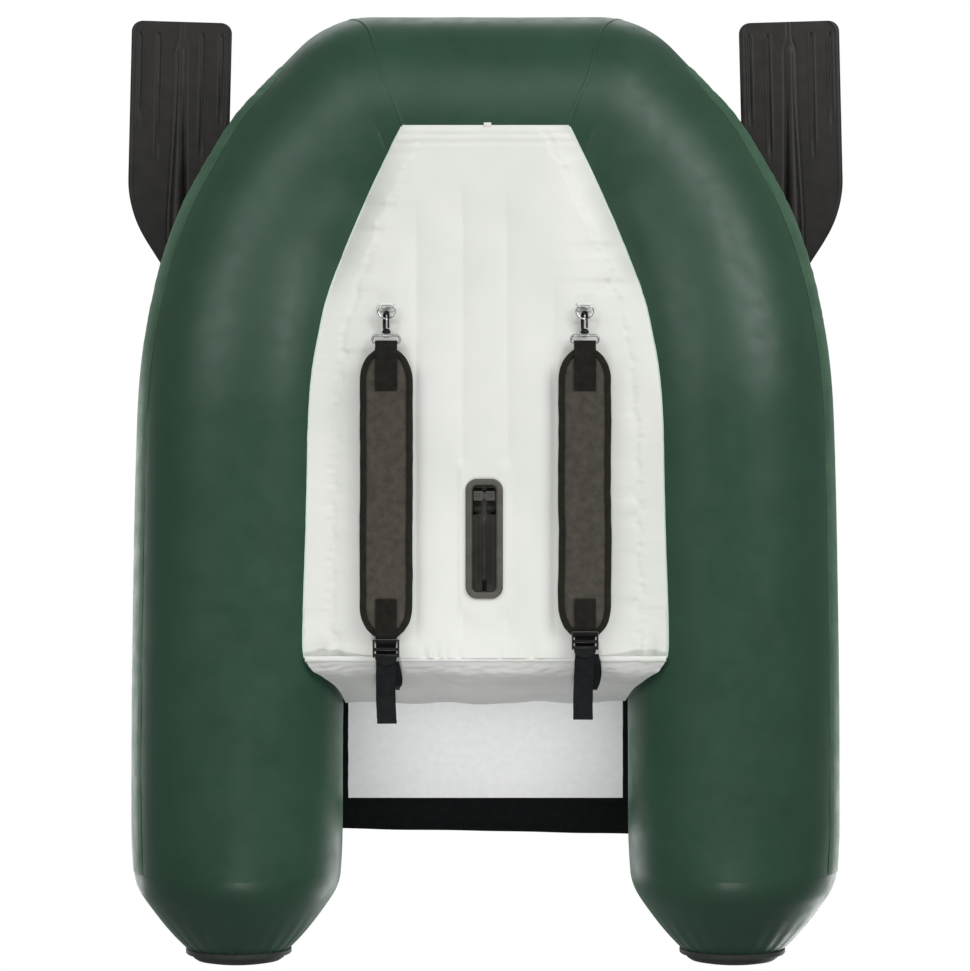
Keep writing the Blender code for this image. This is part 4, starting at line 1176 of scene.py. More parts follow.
def pad_half_width(y, inset=0.0):
    """Half width of the pad's outline at a distance from its middle."""
    reach = PAD_LENGTH / 2 - inset
    half = PAD_WIDTH / 2 - inset
    into_end = abs(y) - (reach - PAD_END + inset * 0.3)
    if into_end <= 0:
        return half
    share = clamp(into_end / (PAD_END - inset * 0.3))
    return half * math.sqrt(max(1 - share**2.1, 0.0))


def pad_loop(share, inset=0.0):
    """Point on the pad's outline, share from 0 to 1 round it, and its way inward."""

    def spot(part):
        part %= 1.0
        half = PAD_WIDTH / 2 - inset
        straight = PAD_LENGTH / 2 - PAD_END
        end = PAD_END - inset
        legs = [straight * 2, math.pi / 2 * (half + end), straight * 2]
        total = legs[0] + legs[1] + legs[2] + legs[1]
        run = part * total
        if run < legs[0]:
            return Vector((half, -straight + run))
        run -= legs[0]
        if run < legs[1]:
            turn = math.pi * run / legs[1]
            return Vector((half * math.cos(turn), straight + end * math.sin(turn)))
        run -= legs[1]
        if run < legs[2]:
            return Vector((-half, straight - run))
        run -= legs[2]
        turn = math.pi * (1 + run / legs[1])
        return Vector((half * math.cos(turn), -straight + end * math.sin(turn)))

    here = spot(share)
    way = (spot(share + 0.002) - spot(share - 0.002)).normalized()
    return here, Vector((-way.y, way.x))


def strap(name, path, width, x, finish, replaces=(), twist=None):
    """Webbing that follows (y, z) points, with its width along x."""
    points = [Vector((0, y, z)) for y, z in path]
    runs = [0.0]
    for a, b in zip(points, points[1:]):
        runs.append(runs[-1] + (b - a).length)
    total = runs[-1]
    table = [(run, p.y, p.z) for run, p in zip(runs, points)]
    rows = max(int(total / 0.0022), 12)

    def place(u, v):
        y, z = read(table, v * total)
        drift = twist(v) if twist else 0.0
        edge = abs(2 * u - 1)
        fray = 0.0004 * ripple((y, z, u > 0.5), 0.012, 3.0) * (edge > 0.98)
        curl = 0.0004 * ripple((0, y, z), 0.03, 7.0) * edge**2
        return Vector((x + drift + (u - 0.5) * width + fray, y, z - curl))

    bm = thicken(laid_grid(12, rows, place), WEB_T)
    return piece(name, bm, finish, "hull", replaces, 50)


def stitch_rows(name, spots, size=(0.0026, 0.0007, 0.0005), body="hull"):
    """Many small stitches: (place, way) pairs in one mesh."""
    bm = bmesh.new()
    for place, way in spots:
        way = Vector(way).normalized()
        up = Vector((0, 0, 1))
        matrix = axes(place, way, up.cross(way), up)
        made = bmesh.ops.create_cube(bm, size=1.0)
        bmesh.ops.scale(bm, vec=size, verts=made["verts"])
        bmesh.ops.transform(bm, matrix=matrix, verts=made["verts"])
    return piece(name, bm, "binding", body, (), 40)


def make_pad(name, side):
    x = side * STRAP_X

    def wobble(y):
        return 0.0012 * ripple((side, y, 0), 0.09, 2.0) + 0.0005 * ripple((side, y, 0), 0.03, 5.0)

    def body(u, v):
        angle = u * math.tau
        # slow the rows towards the ends, so that the round ends stay smooth
        y = (PAD_LENGTH / 2 - 0.004) * math.sin((v - 0.5) * math.pi)
        half = pad_half_width(y, 0.004)
        across, up = math.cos(angle), math.sin(angle)
        out = half * math.copysign(abs(across) ** 0.5, across)
        bulge = 1 - 0.45 * (abs(out) / (PAD_WIDTH / 2)) ** 4
        z = (PAD_T / 2 - 0.0006) * bulge * math.copysign(abs(up) ** 0.6, up)
        soft = 0.0007 * ripple((out, y, side), 0.045, 3.0)
        soft += 0.0003 * ripple((out, y, side), 0.015, 7.0)
        return Vector((x + out + wobble(y), PAD_Y + y, PAD_Z + z + soft * up))

    bm = close_up(laid_grid(72, 150, body))
    pad = piece(f"{name}_pad_body", bm, "pad", "hull", f"{name}_shoulder_pad", 60)

    # binding tape folded over the pad's edge: nine points across the fold
    fold = [
        (0.0085, -0.0062), (0.0080, -0.0068), (0.0040, -0.0062), (0.0008, -0.0042), (-0.0006, 0.0),
        (0.0008, 0.0042), (0.0040, 0.0062), (0.0080, 0.0068), (0.0085, 0.0062),
    ]

    def binding(u, v):
        spot, inward = pad_loop(v)
        shift, z = fold[round(u * 8)]
        wave = 0.0007 * ripple((spot.x * 3, spot.y, side), 0.022, 4.0)
        spot = spot + inward * (shift + 0.0007 + wave)
        return Vector((x + spot.x + wobble(spot.y), PAD_Y + spot.y, PAD_Z + z))

    bm = thicken(laid_grid(8, 330, binding), 0.0010)
    piece(f"{name}_pad_binding", bm, "binding", "hull", (), 60)

    # one row of stitches along the binding
    stitches = []
    count = 250
    for i in range(count):
        spot, inward = pad_loop(i / count)
        ahead, _ = pad_loop((i + 0.5) / count)
        spot = spot + inward * 0.0072
        way = (ahead - pad_loop((i - 0.5) / count)[0]).to_3d()
        place = (x + spot.x + wobble(spot.y), PAD_Y + spot.y, PAD_Z - 0.0074)
        stitches.append((place, way))
    stitch_rows(f"{name}_pad_stitches", stitches)


def make_straps(name, side):
    x = side * STRAP_X
    under = PAD_Z - PAD_T / 2 - 0.0003 - WEB_T / 2
    # upper webbing: sewn to the pad, and folded round the swivel loop's bar
    low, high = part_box(f"{name}_upper_webbing")
    bar_y, bar_z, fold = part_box(f"{name}_swivel_loop")[0].y + 0.0016, 0.0200, 0.0029
    arc = [
        (bar_y + fold * math.cos(math.radians(a)), bar_z + fold * math.sin(math.radians(a)))
        for a in range(-110, 121, 23)
    ]
    path = [(low.y, under), (0.175, under), (0.2030, under + 0.0004)] + arc
    strap(f"{name}_top_webbing", path, high.x - low.x, x, "webbing", f"{name}_upper_webbing")
    # lower webbing: from the pad to the buckle's top bar and back behind it
    buckle_low, buckle_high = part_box(f"{name}_ladder_buckle")
    low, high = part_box(f"{name}_lower_webbing")
    bar_y, bar_z = buckle_high.y - 0.0015, (buckle_low.z + buckle_high.z) / 2
    fold = under - bar_z
    arc = [
        (bar_y + fold * math.cos(math.radians(a)), bar_z + fold * math.sin(math.radians(a)))
        for a in range(90, 281, 24)
    ]
    path = [(high.y, under), (high.y - 0.02, under)] + arc
    strap(f"{name}_low_webbing", path, high.x - low.x, x, "webbing", f"{name}_lower_webbing")
    stitches = []
    seam_x, stitch_z = 0.0135, under - WEB_T / 2 - 0.0001
    for start, end in ((0.150, 0.196), (-0.226, -0.185)):
        for line in (-seam_x, seam_x):
            for i in range(12):
                y = start + (end - start) * i / 11
                stitches.append(((x + line, y, stitch_z), (0, 1, 0)))
        for line in (start, end):
            for i in range(7):
                stitches.append(((x - seam_x + 0.0045 * i, line, stitch_z), (1, 0, 0)))
    stitch_rows(f"{name}_webbing_stitches", stitches)
    make_buckle(name, x, buckle_low, buckle_high)

    # the loose tail in front, and the strap that runs up to the hull behind it
    tail_low, tail_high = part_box(f"{name}_strap_tail")
    start = tail_high.y
    tail = [
        (start + 0.004, 0.0072),
        (start - 0.012, 0.0092),
        (start - 0.040, 0.0090),
        (tail_low.y + 0.030, 0.0096),
        (tail_low.y + 0.0012, 0.0106),
    ]
    pull = -0.0016 if side > 0 else 0.0030  # how far the tail's end hangs aside

    def drift(v):
        return pull * v + 0.0012 * math.sin(3 * v)

    width = tail_high.x - tail_low.x - 0.003
    strap(f"{name}_tail", tail, width, x, "webbing_cool", f"{name}_strap_tail", drift)
    hem = tail_low.y + 0.0035
    bm = bar(
        (x + drift(1.0) - width / 2 - 0.0002, tail_low.y, 0.0086),
        (x + drift(1.0) + width / 2 + 0.0002, hem + 0.003, 0.0126),
        0.0010,
    )
    piece(f"{name}_tail_hem", bm, "webbing_cool", "hull", (), 40)
    anchor_low, anchor_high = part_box(f"{name}_anchor_strap")
    start = anchor_high.y
    anchor = [
        (start, 0.0122),
        (start - 0.014, 0.0170),
        (start - 0.034, 0.0330),
        (anchor_low.y + 0.006, 0.0500),
        (anchor_low.y + 0.0010, 0.0690),
    ]
    middle = (anchor_low.x + anchor_high.x) / 2

    def bulge(v):
        return side * 0.0006 - 0.0050 * math.sin(math.pi * clamp(v * 1.25))

    strap(
        f"{name}_anchor", anchor, anchor_high.x - anchor_low.x, middle, "webbing_cool",
        f"{name}_anchor_strap", bulge,
    )
    # webbing that passes up behind the buckle's bars
    backing = [
        (start + 0.001, 0.0128),
        (buckle_low.y + 0.012, 0.0122),
        (buckle_high.y - 0.0040, 0.0124),
    ]
    strap(f"{name}_backing", backing, 0.0315, x, "webbing_cool")


def make_buckle(name, x, low, high):
    """Ladder-lock buckle: frame, three bars and the thumb tongue."""
    bm = bmesh.new()
    rail = 0.0030
    for sign in (1, -1):
        edge = x + sign * (high.x - low.x) / 2
        near, far = sorted((edge, edge - sign * rail))
        bar((near, low.y + 0.006, low.z), (far, high.y, high.z), 0.0011, bm)
    centre = (low.y + high.y) / 2
    left, right = low.x + 0.0012, high.x - 0.0012
    bar((left, high.y - 0.0026, low.z + 0.0004), (right, high.y, high.z - 0.0004), 0.0010, bm)
    bar((left, centre - 0.0010, low.z - 0.0004), (right, centre + 0.0042, high.z), 0.0016, bm)
    bar((left, centre - 0.0090, low.z), (right, centre - 0.0050, high.z), 0.0014, bm)
    piece(f"{name}_buckle", bm, "abs", "hull", f"{name}_ladder_buckle", 40)

    def tongue(u, v):
        angle = math.pi * u
        reach = 0.0175 * (1 - v) * 0.98
        across = math.cos(angle)
        y = low.y + 0.0088 - (0.0145 * (1 - v)) * math.sin(angle) ** 0.8
        dish = 0.0012 * (1 - (1 - v) ** 2)
        return Vector((x + reach * across, y, low.z + 0.0006 + dish))

    bm = thicken(laid_grid(24, 8, tongue), 0.0020)
    piece(f"{name}_buckle_tongue", bm, "abs", "hull", (), 50)
    # painted highlight: light grey strips along the frame's top and side edges, where its bevels
    # would catch the light
    bm = bmesh.new()
    face, back = low.z - 0.0004, low.z + 0.0010
    bar((low.x + 0.001, high.y - 0.0006, face), (high.x - 0.001, high.y + 0.0002, back), 0.0002, bm)
    for edge in (low.x - 0.0002, high.x - 0.0006):
        bar((edge, low.y + 0.008, face), (edge + 0.0008, high.y - 0.001, back), 0.0002, bm)
    piece(f"{name}_buckle_painted_highlights", bm, "abs_painted_highlight", "hull", (), 50)


def make_ring(name, side):
    """D-ring in its patch: a flat patch, with a sleeve over the ring's straight side."""
    x = side * STRAP_X
    low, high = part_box(f"{name}_d_ring")
    wire = (high.z - low.z) / 2
    z = (low.z + high.z) / 2
    top = high.y - wire
    half = (high.x - low.x) / 2 - wire
    corner, shoulder = 0.0032, 0.006
    cut = corner * 0.3
    points = [(x + half - corner, top, z), (x, top, z), (x - half + corner, top, z)]
    points += [(x - half + cut, top - cut, z), (x - half, top - corner, z)]
    drop = top - (low.y + wire) - shoulder
    for turn in range(180, 361, 18):
        angle = math.radians(turn)
        across, down = half * math.cos(angle), drop * math.sin(angle)
        points.append((x + across, top - shoulder + down, z))
    points += [(x + half, top - corner, z), (x + half - cut, top - cut, z)]
    bm = rod(points, wire, 12, True)
    piece(f"{name}_ring_wire", bm, "chrome", f"{name}_ring", f"{name}_d_ring", 60)

    # the ring's straight side, ribbed where the sleeve grips it
    grip = 0.0085
    ribs = rod(
        [(x - grip, top, z), (x, top, z), (x + grip, top, z)],
        lambda v: wire + 0.0004 + 0.00025 * math.sin(60 * v),
    )
    piece(f"{name}_ring_bar", ribs, "chrome", f"{name}_ring", (), 60)

    def patch(u, v):
        px, py = (u - 0.5) * 0.024, (v - 0.5) * 0.013
        edge = max(abs(2 * u - 1), abs(2 * v - 1))
        drop = 0.0012 * ease((1 - edge) / 0.12) - 0.0006
        slope = floor_height(top + py) - drop
        return Vector((x + px, top + py, slope + 0.0003 * ripple((px, py, side), 0.01)))

    def sleeve(u, v):
        angle = math.radians(140 * (u - 1))
        r = wire + 0.0011
        spot_z = floor_height(top) - 0.001 if u in (0.0, 1.0) else z - r * math.sin(angle)
        return Vector((x + (v - 0.5) * 0.0130, top + r * math.cos(angle), spot_z))

    bm = thicken(laid_grid(24, 20, patch), 0.0008)
    loop = thicken(laid_grid(12, 8, sleeve), 0.0007)
    mesh = bpy.data.meshes.new("sleeve")
    loop.to_mesh(mesh)
    loop.free()
    bm.from_mesh(mesh)
    bpy.data.meshes.remove(mesh)
    piece(f"{name}_ring_tab", bm, "white", "hull", f"{name}_ring_patch", 50)


def make_swivel_loop(name, side):
    """Wire loop that the pad's webbing folds round, with the barrel the hook turns in."""
    x = side * STRAP_X
    low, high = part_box(f"{name}_swivel_loop")
    wire, z, bend, depth = 0.0019, 0.0200, 0.0042, 0.0110  # bend is its corners' radius
    reach = (high.x - low.x) / 2 - wire - bend
    near, far = low.y + wire, low.y + wire + depth
    outline = []
    for cx, cy, start in (
        (x + reach, far - bend, 0),
        (x - reach, far - bend, 90),
        (x - reach, near + bend, 180),
        (x + reach, near + bend, 270),
    ):
        for step in (0, 30, 60, 90):
            angle = math.radians(start + step)
            outline.append((cx + bend * math.cos(angle), cy + bend * math.sin(angle), z))
    bm = rod(outline, wire, 12, True)
    barrel = axes((x, 0, (z + 0.028) / 2), (1, 0, 0), (0, 0, -1), (0, 1, 0))
    profile = [
        (0.0, far - 0.0032), (0.0040, far - 0.0032), (0.0050, far - 0.0022), (0.0050, far + 0.0008),
        (0.0040, far + 0.0016), (0.0040, high.y - 0.0008), (0.0034, high.y - 0.0002),
        (0.0, high.y - 0.0002),
    ]
    lathe(profile, barrel, 28, bm)
    loop = f"{name}_swivel_loop"
    piece(f"{name}_loop_wire", bm, "steel", "hull", loop, 60)


def make_hook(name, side):
    """Snap hook: shank, bent nose, boss with its rivet, and the sprung gate."""
    x = side * STRAP_X
    ring_low, ring_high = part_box(f"{name}_d_ring")
    z = (ring_low.z + ring_high.z) / 2
    tilt = math.radians(60)
    across = Vector((math.cos(tilt), 0, math.sin(tilt)))
    centre = Vector((x, 0, z))
    # the shank's foot, the middle of the nose's bend, and half the hook's width
    base_y, top_y, reach = 0.2345, 0.2573, 0.0067
    spine = [centre + across * (reach * 0.75) + Vector((0, base_y, 0))]
    spine.append(centre + across * reach + Vector((0, base_y + 0.008, 0)))
    for turn in range(0, 201, 20):
        angle = math.radians(turn)
        swing = across * (reach * math.cos(angle))
        spine.append(centre + swing + Vector((0, top_y + reach * math.sin(angle), 0)))
    bm = rod(spine, lambda v: 0.0026 - 0.0008 * ease((v - 0.7) / 0.3))
    boss = axes((x, 0, z), (1, 0, 0), (0, 0, -1), (0, 1, 0))
    profile = [
        (0.0, base_y - 0.0035), (0.0050, base_y - 0.0035), (0.0066, base_y - 0.0026),
        (0.0068, base_y - 0.0005), (0.0060, base_y + 0.0010), (0.0045, base_y + 0.0034),
        (0.0, base_y + 0.0044),
    ]
    lathe(profile, boss, 32, bm)
    piece(f"{name}_hook", bm, "zinc", f"{name}_hook", f"{name}_snap_hook", 60)
    low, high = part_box(f"{name}_snap_gate")
    foot = centre - across * reach + Vector((0, low.y, 0))
    tip = centre - across * reach + Vector((0, high.y, 0))
    bm = rod([foot, foot.lerp(tip, 0.5), tip], lambda v: 0.0016 - 0.0003 * v)
    pin = axes(foot + Vector((0, 0.0015, 0)), (0, 1, 0), (1, 0, 0), (0, 0, -1))
    lathe([(0.0, -0.002), (0.0014, -0.002), (0.0014, 0.002), (0.0, 0.002)], pin, 16, bm)
    piece(f"{name}_gate", bm, "zinc", f"{name}_gate", f"{name}_snap_gate", 60)


# ---------------------------------------------------------------- oars
OAR_X, OAR_Z = 0.505, 0.372
SHAFT_R = 0.0140
BLADE_ROOT, BLADE_TIP = 0.3425, 0.7625
BLADE_HALF, BLADE_CORNER = 0.0828, 0.018
BLADE_T = 0.0056
GROOVES = [  # (offset from the middle, start and end measured back from the tip)
    (0.0360, 0.018, 0.235), (0.0670, 0.018, 0.183), (-0.0360, 0.018, 0.235),
    (-0.0670, 0.018, 0.183),
]


def blade_half(y):
    taper_end = 0.505
    if y < taper_end:
        part = (y - BLADE_ROOT) / (taper_end - BLADE_ROOT)
        return 0.0185 + (BLADE_HALF - 0.0185) * math.sin(part * math.pi / 2)
    corner = y - (BLADE_TIP - BLADE_CORNER)
    if corner <= 0:
        return BLADE_HALF
    return BLADE_HALF - BLADE_CORNER + math.sqrt(max(BLADE_CORNER**2 - corner**2, 0.0))


def make_oar(name, side):
    x = side * OAR_X
    body = f"{name}_oar"

    def blade(u, v):
        y = BLADE_ROOT + (BLADE_TIP - 0.0002 - BLADE_ROOT) * (1 - (1 - v) ** 1.35)
        half = blade_half(y)
        turn = u * 2
        under = turn <= 1
        # spread the points evenly across the flat faces
        lean = (1 - 2 * turn) if under else (2 * turn - 3)
        out = half * math.copysign(abs(lean), lean)
        edge = ease((half - abs(out)) / 0.0022)
        thick = BLADE_T / 2 * (0.35 + 0.65 * edge)
        back = BLADE_TIP - y
        for offset, start, end in GROOVES:
            along = ease((back - start) / 0.006) * ease((end - back) / 0.05)
            thick -= 0.0017 * along * hump(out, offset, 0.0036)
            thick += 0.0005 * along * hump(abs(out - offset), 0.0045, 0.0025)
        # raised rim round the blade
        thick += 0.0004 * hump(half - abs(out), 0.006, 0.003)
        # the spine: a round rib from the shaft, thinner in two steps
        share = (y - BLADE_ROOT) / (BLADE_TIP - 0.03 - BLADE_ROOT)
        rib = 0.0158 - 0.0080 * ease(share * 1.15) - 0.0012 * ease((y - 0.405) / 0.004)
        rib *= ease((BLADE_TIP - 0.022 - y) / 0.03) if y > BLADE_TIP - 0.052 else 1.0
        if rib > abs(out):
            high = math.sqrt(max(rib**2 - out**2, 0.0))
            thick = max(thick, high * (0.96 - 0.25 * ease(share)))
        # a groove on either side of the rib
        thick -= 0.0008 * hump(abs(out), rib + 0.0035, 0.0030)
        z = -thick if under else thick
        # the blade leans a degree inward, and its tip is cut a little aslant
        lean_in = side * 0.024 * (0.600 - y) * ease((y - 0.36) / 0.08)
        slant = 0.030 * side * out * ease((y - 0.60) / 0.15)
        return Vector((x + out + lean_in, y + slant, OAR_Z + z))

    bm = close_up(laid_grid(280, 150, blade))
    piece(f"{name}_blade", bm, "blade", body, f"{name}_oar_blade", 50)
    along = axes((x, 0, OAR_Z), (1, 0, 0), (0, 0, -1), (0, 1, 0))
    low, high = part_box(f"{name}_oar_shaft")
    profile = [
        (0.0, low.y),
        (SHAFT_R - 0.0006, low.y),
        (SHAFT_R, low.y + 0.0006),
        (SHAFT_R, 0.176),
        (SHAFT_R - 0.0007, 0.1764),
        (SHAFT_R - 0.0007, 0.1775),
        (SHAFT_R, 0.1779),
        (SHAFT_R, high.y - 0.012),
        (SHAFT_R + 0.0012, high.y - 0.011),
        (SHAFT_R + 0.0012, high.y - 0.001),
        (SHAFT_R, high.y),
        (0.0, high.y),
    ]
    bm = lathe(profile, along, 48)
    piece(f"{name}_shaft", bm, "aluminium", body, f"{name}_oar_shaft", 40)
    # bush round the sprung button, and the button's dome
    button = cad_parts[f"{name}_oar_button"]
    button.data.materials[0] = FINISHES["steel"]
    low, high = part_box(f"{name}_oar_button")
    up = axes(((low.x + high.x) / 2, (low.y + high.y) / 2, 0), (1, 0, 0), (0, 1, 0), (0, 0, 1))
    r = (high.x - low.x) / 2
    bush = [
        (r + 0.0005, OAR_Z + SHAFT_R - 0.0012),
        (r + 0.0022, OAR_Z + SHAFT_R - 0.0012),
        (r + 0.0020, OAR_Z + SHAFT_R + 0.0003),
        (r + 0.0007, OAR_Z + SHAFT_R + 0.0004),
        (r + 0.0005, OAR_Z + SHAFT_R - 0.0012),
    ]
    bm = lathe(bush, up, 24)
    piece(f"{name}_button_bush", bm, "abs", body, (), 40)

    low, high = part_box(f"{name}_oar_grip")
    length = high.y - low.y
    r = (high.x - low.x) / 2 - 0.0005
    rows = [(0.0, low.y), (r * 0.75, low.y + 0.0006), (r * 0.95, low.y + 0.003)]
    rows += [(r, low.y + 0.008), (r, low.y + 0.015), (r - 0.002, low.y + 0.021)]
    ridges, ridged = 16, length - 0.044
    pitch = ridged / ridges
    for i in range(ridges):
        y = low.y + 0.026 + ridged * i / ridges
        waist = r - 0.0034 + 0.0012 * math.cos(math.tau * i / ridges)
        crest = waist + 0.0011
        rows += [(waist, y), (crest, y + pitch * 0.3), (crest, y + pitch * 0.6)]
    rows += [(r - 0.0022, high.y - 0.014), (r - 0.001, high.y - 0.008)]
    rows += [(r - 0.0022, high.y - 0.001), (SHAFT_R + 0.0004, high.y), (0.0, high.y)]
    bm = lathe(rows, along, 40)
    piece(f"{name}_grip", bm, "foam", body, f"{name}_oar_grip", 40)


def make_oarlock(name):
    refined(f"{name}_lock_base", f"{name}_oarlock_base", "rubber", "hull", 0.0012)
    refined(
        f"{name}_lock_fork", f"{name}_oarlock_fork", "abs", f"{name}_oarlock",
        0.0010,
    )
    refined(
        f"{name}_lock_collar", f"{name}_oar_collar", "abs", f"{name}_collar",
        0.0010,
    )


# ---------------------------------------------------------------- apron
def make_apron():
    """White cloth over the legs, bound in black, with a spreader bar in its sleeve."""
    low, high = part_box("apron_panel")
    bar_low, bar_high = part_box("apron_bar")
    white_half = 0.2246  # the cloth is black beyond this
    tuck = 0.0120  # how far the cloth goes into the sleeve

    def panel(u, v):
        x = (white_half + 0.004) * (2 * u - 1)
        y = bar_high.y - tuck + (high.y - bar_high.y + tuck) * v
        soft = 0.0009 * ripple((x, y, 0), 0.08, 4.0) + 0.0004 * ripple((x, y, 0), 0.025, 2.0)
        edge = ease(min(u, 1 - u, v, 1 - v) * 20)
        return Vector((x, y, (low.z + high.z) / 2 + soft * edge))

    bm = thicken(laid_grid(120, 44, panel), 0.0008)
    cloth = piece("apron_cloth", bm, "mesh", "apron", "apron_panel", 60)
    for name, side in SIDES.items():

        def edge_tape(u, v, side=side):
            y = bar_high.y - tuck + (high.y - bar_high.y + tuck) * v
            x = white_half + (high.x - white_half) * u
            x += 0.0005 * ripple((side, y, 0), 0.02) * (u == 0)
            soft = 0.0005 * ripple((x, y, side), 0.05, 4.0)
            return Vector((side * x, y, low.z - 0.0004 + soft))

        bm = thicken(laid_grid(24, 60, edge_tape), 0.0009)
        piece(f"{name}_apron_tape", bm, "black_cloth", "apron", (), 50)
    seat_side = bmesh.new()
    bar(
        (low.x, high.y - 0.008, low.z - 0.0003),
        (high.x, high.y + 0.0002, high.z + 0.0006),
        0.0008,
        seat_side,
    )
    piece("apron_front_hem", seat_side, "black_cloth", "apron", ())

    # sleeve: flattened cloth tube with the spreader bar pushing out its middle
    mid_y, mid_z = (bar_low.y + bar_high.y) / 2, (bar_low.z + bar_high.z) / 2
    half_y, half_z = (bar_high.y - bar_low.y) / 2, (bar_high.z - bar_low.z) / 2
    slant = 0.018  # the sleeve sits a little lower at the port end

    def sleeve(u, v):
        x = bar_low.x + (bar_high.x - bar_low.x) * v
        angle = u * math.tau
        across, up = math.cos(angle), math.sin(angle)
        y = half_y * math.copysign(abs(across) ** 0.7, across)
        tall = 0.0020 + (half_z - 0.0024) * ease((0.026 - abs(y + 0.004)) / 0.014)
        crumple = 0.0006 * ripple((x, y, up > 0), 0.018, 6.0)
        end = ease(min(v, 1 - v) * 60)
        z = (tall + crumple) * math.copysign(abs(up) ** 0.6, up) * (0.55 + 0.45 * end)
        wavy = 0.0012 * ripple((x, across > 0, 0), 0.10, 3.0)
        return Vector((x, mid_y + y * 0.985 + wavy + slant * x, mid_z + z))

    bm = close_up(laid_grid(72, 200, sleeve))
    piece("apron_sleeve", bm, "black_cloth", "apron", "apron_bar", 60)
    spots, stitches = [], 150
    for i in range(stitches):
        x = bar_low.x + 0.006 + (bar_high.x - bar_low.x - 0.012) * i / (stitches - 1)
        spots.append(((x, bar_high.y - 0.0075 + slant * x, mid_z - 0.0030), (1, 0, 0)))
    stitch_rows("apron_sleeve_stitches", spots, (0.0026, 0.0008, 0.0006), "apron")


# ---------------------------------------------------------------- seat and backrest
def inflated(name, bm, finish, body, replaces, cap, pressure=4.0, voxel=0.006):
    """Swell a closed form as air does a welded cushion, by a short cloth simulation."""
    mesh = bpy.data.meshes.new(name)
    bm.to_mesh(mesh)
    bm.free()
    obj = bpy.data.objects.new(name, mesh)
    bpy.context.scene.collection.objects.link(obj)
    remesh = obj.modifiers.new("voxels", "REMESH")
    remesh.mode = "VOXEL"
    remesh.voxel_size = voxel
    bpy.context.view_layer.update()
    seen = obj.evaluated_get(bpy.context.evaluated_depsgraph_get())
    even = bpy.data.meshes.new_from_object(seen)
    obj.modifiers.clear()
    obj.data = even
    bpy.data.meshes.remove(mesh)
    rest = [vert.co.copy() for vert in even.vertices]
    cloth = obj.modifiers.new("air", "CLOTH")
    cloth.settings.use_pressure = True
    cloth.settings.uniform_pressure_force = pressure
    cloth.settings.effector_weights.gravity = 0.0
    cloth.settings.quality = 4
    scene = bpy.context.scene
    for step in range(1, 21):
        scene.frame_set(step)
    bpy.context.view_layer.update()
    seen = obj.evaluated_get(bpy.context.evaluated_depsgraph_get())
    moved = [vert.co.copy() for vert in seen.data.vertices]
    obj.modifiers.clear()
    scene.frame_set(1)
    for vert, start, end in zip(even.vertices, rest, moved):
        push = end - start
        if push.length > cap:
            push *= cap / push.length
        vert.co = start + push
    even.update()
    even.materials.clear()
    even.materials.append(FINISHES[finish])
    even.shade_smooth()
    smooth = obj.modifiers.new("smooth", "SUBSURF")
    smooth.levels = smooth.render_levels = 1
    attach(obj, body)
    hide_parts(replaces)
    return obj


def make_seat():
    low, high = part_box("seat_cushion")
    swell = 0.010

    def wall(z):
        drop = clamp(abs(z - TUBE_R), 0.0, 0.15)
        return CENTRE_LINE[1][0] - math.sqrt(TUBE_R**2 - drop**2) - 0.003

    def form(u, v):
        angle = u * math.tau
        across, up = math.cos(angle), math.sin(angle)
        z_mid = (low.z + high.z) / 2
        z = z_mid + (high.z - low.z - 2 * swell) / 2 * math.copysign(abs(up) ** 0.5, up)
        half = min(wall(z), high.x) - 0.007
        x = half * math.copysign(abs(across) ** 0.5, across)
        y = low.y + swell + (high.y - low.y - 2 * swell) * v
        # four air beams from side to side
        beams = abs(math.sin(math.pi * 4 * v))
        z -= 0.010 * (1 - beams) ** 2 * max(up, 0.0) ** 0.4
        end = min(v, 1 - v)
        pinch = 1 - 0.35 * (1 - ease(end * 12))
        return Vector((x, y, z_mid + (z - z_mid) * pinch))

    bm = close_up(laid_grid(96, 72, form))
    seat = inflated("seat_air_cushion", bm, "cushion", "hull", "seat_cushion", 0.009)


BACK_LEAN = math.radians(12)
BACK_HINGE = Vector((0, 0.0760, 0.2745))
BACK_SIZE = (0.450, 0.090, 0.360)


def back_matrix():
    return Matrix.Translation(BACK_HINGE) @ Matrix.Rotation(-BACK_LEAN, 4, "X")


def make_backrest():
    width, depth, height = BACK_SIZE
    matrix = back_matrix()
    swell = 0.009

    def form(u, v):
        angle = u * math.tau
        across, front = math.cos(angle), math.sin(angle)
        z = swell + (height - 2 * swell) * v
        top = ease((v - 0.75) / 0.25)
        half = (width / 2 - swell) * (1 - 0.16 * top**2)
        x = half * math.copysign(abs(across) ** 0.5, across)
        thick = depth / 2 - swell
        y = depth / 2 + thick * math.copysign(abs(front) ** 0.6, front)
        beams = abs(math.sin(math.pi * 5 * (0.5 + x / width)))
        if front < 0:
            y += 0.009 * (1 - beams) ** 2 * ease(min(v, 1 - v) * 7)
        pinch = 1 - 0.5 * (1 - ease(min(v, 1 - v) * 9))
        return matrix @ Vector((x, depth / 2 + (y - depth / 2) * pinch, z))

    bm = close_up(laid_grid(120, 80, form))
    back = inflated("back_air_cushion", bm, "cushion", "backrest", "backrest", 0.008)
    # welded piping round the middle of the cushion's edge
    loop = []
    for i in range(72):
        spot, _ = rounded_loop(width - 0.012, height - 0.014, 0.055, i / 72)
        narrow = 1 - 0.13 * ease((spot.y / height + 0.5 - 0.75) / 0.25) ** 2
        loop.append(matrix @ Vector((spot.x * narrow, depth / 2, spot.y + height / 2)))
    bm = rod(loop, 0.0034, 10, True)
    piece("back_piping", bm, "abs", "backrest", (), 60)


# ---------------------------------------------------------------- valves and handle
VALVE_TURN = math.radians(30)


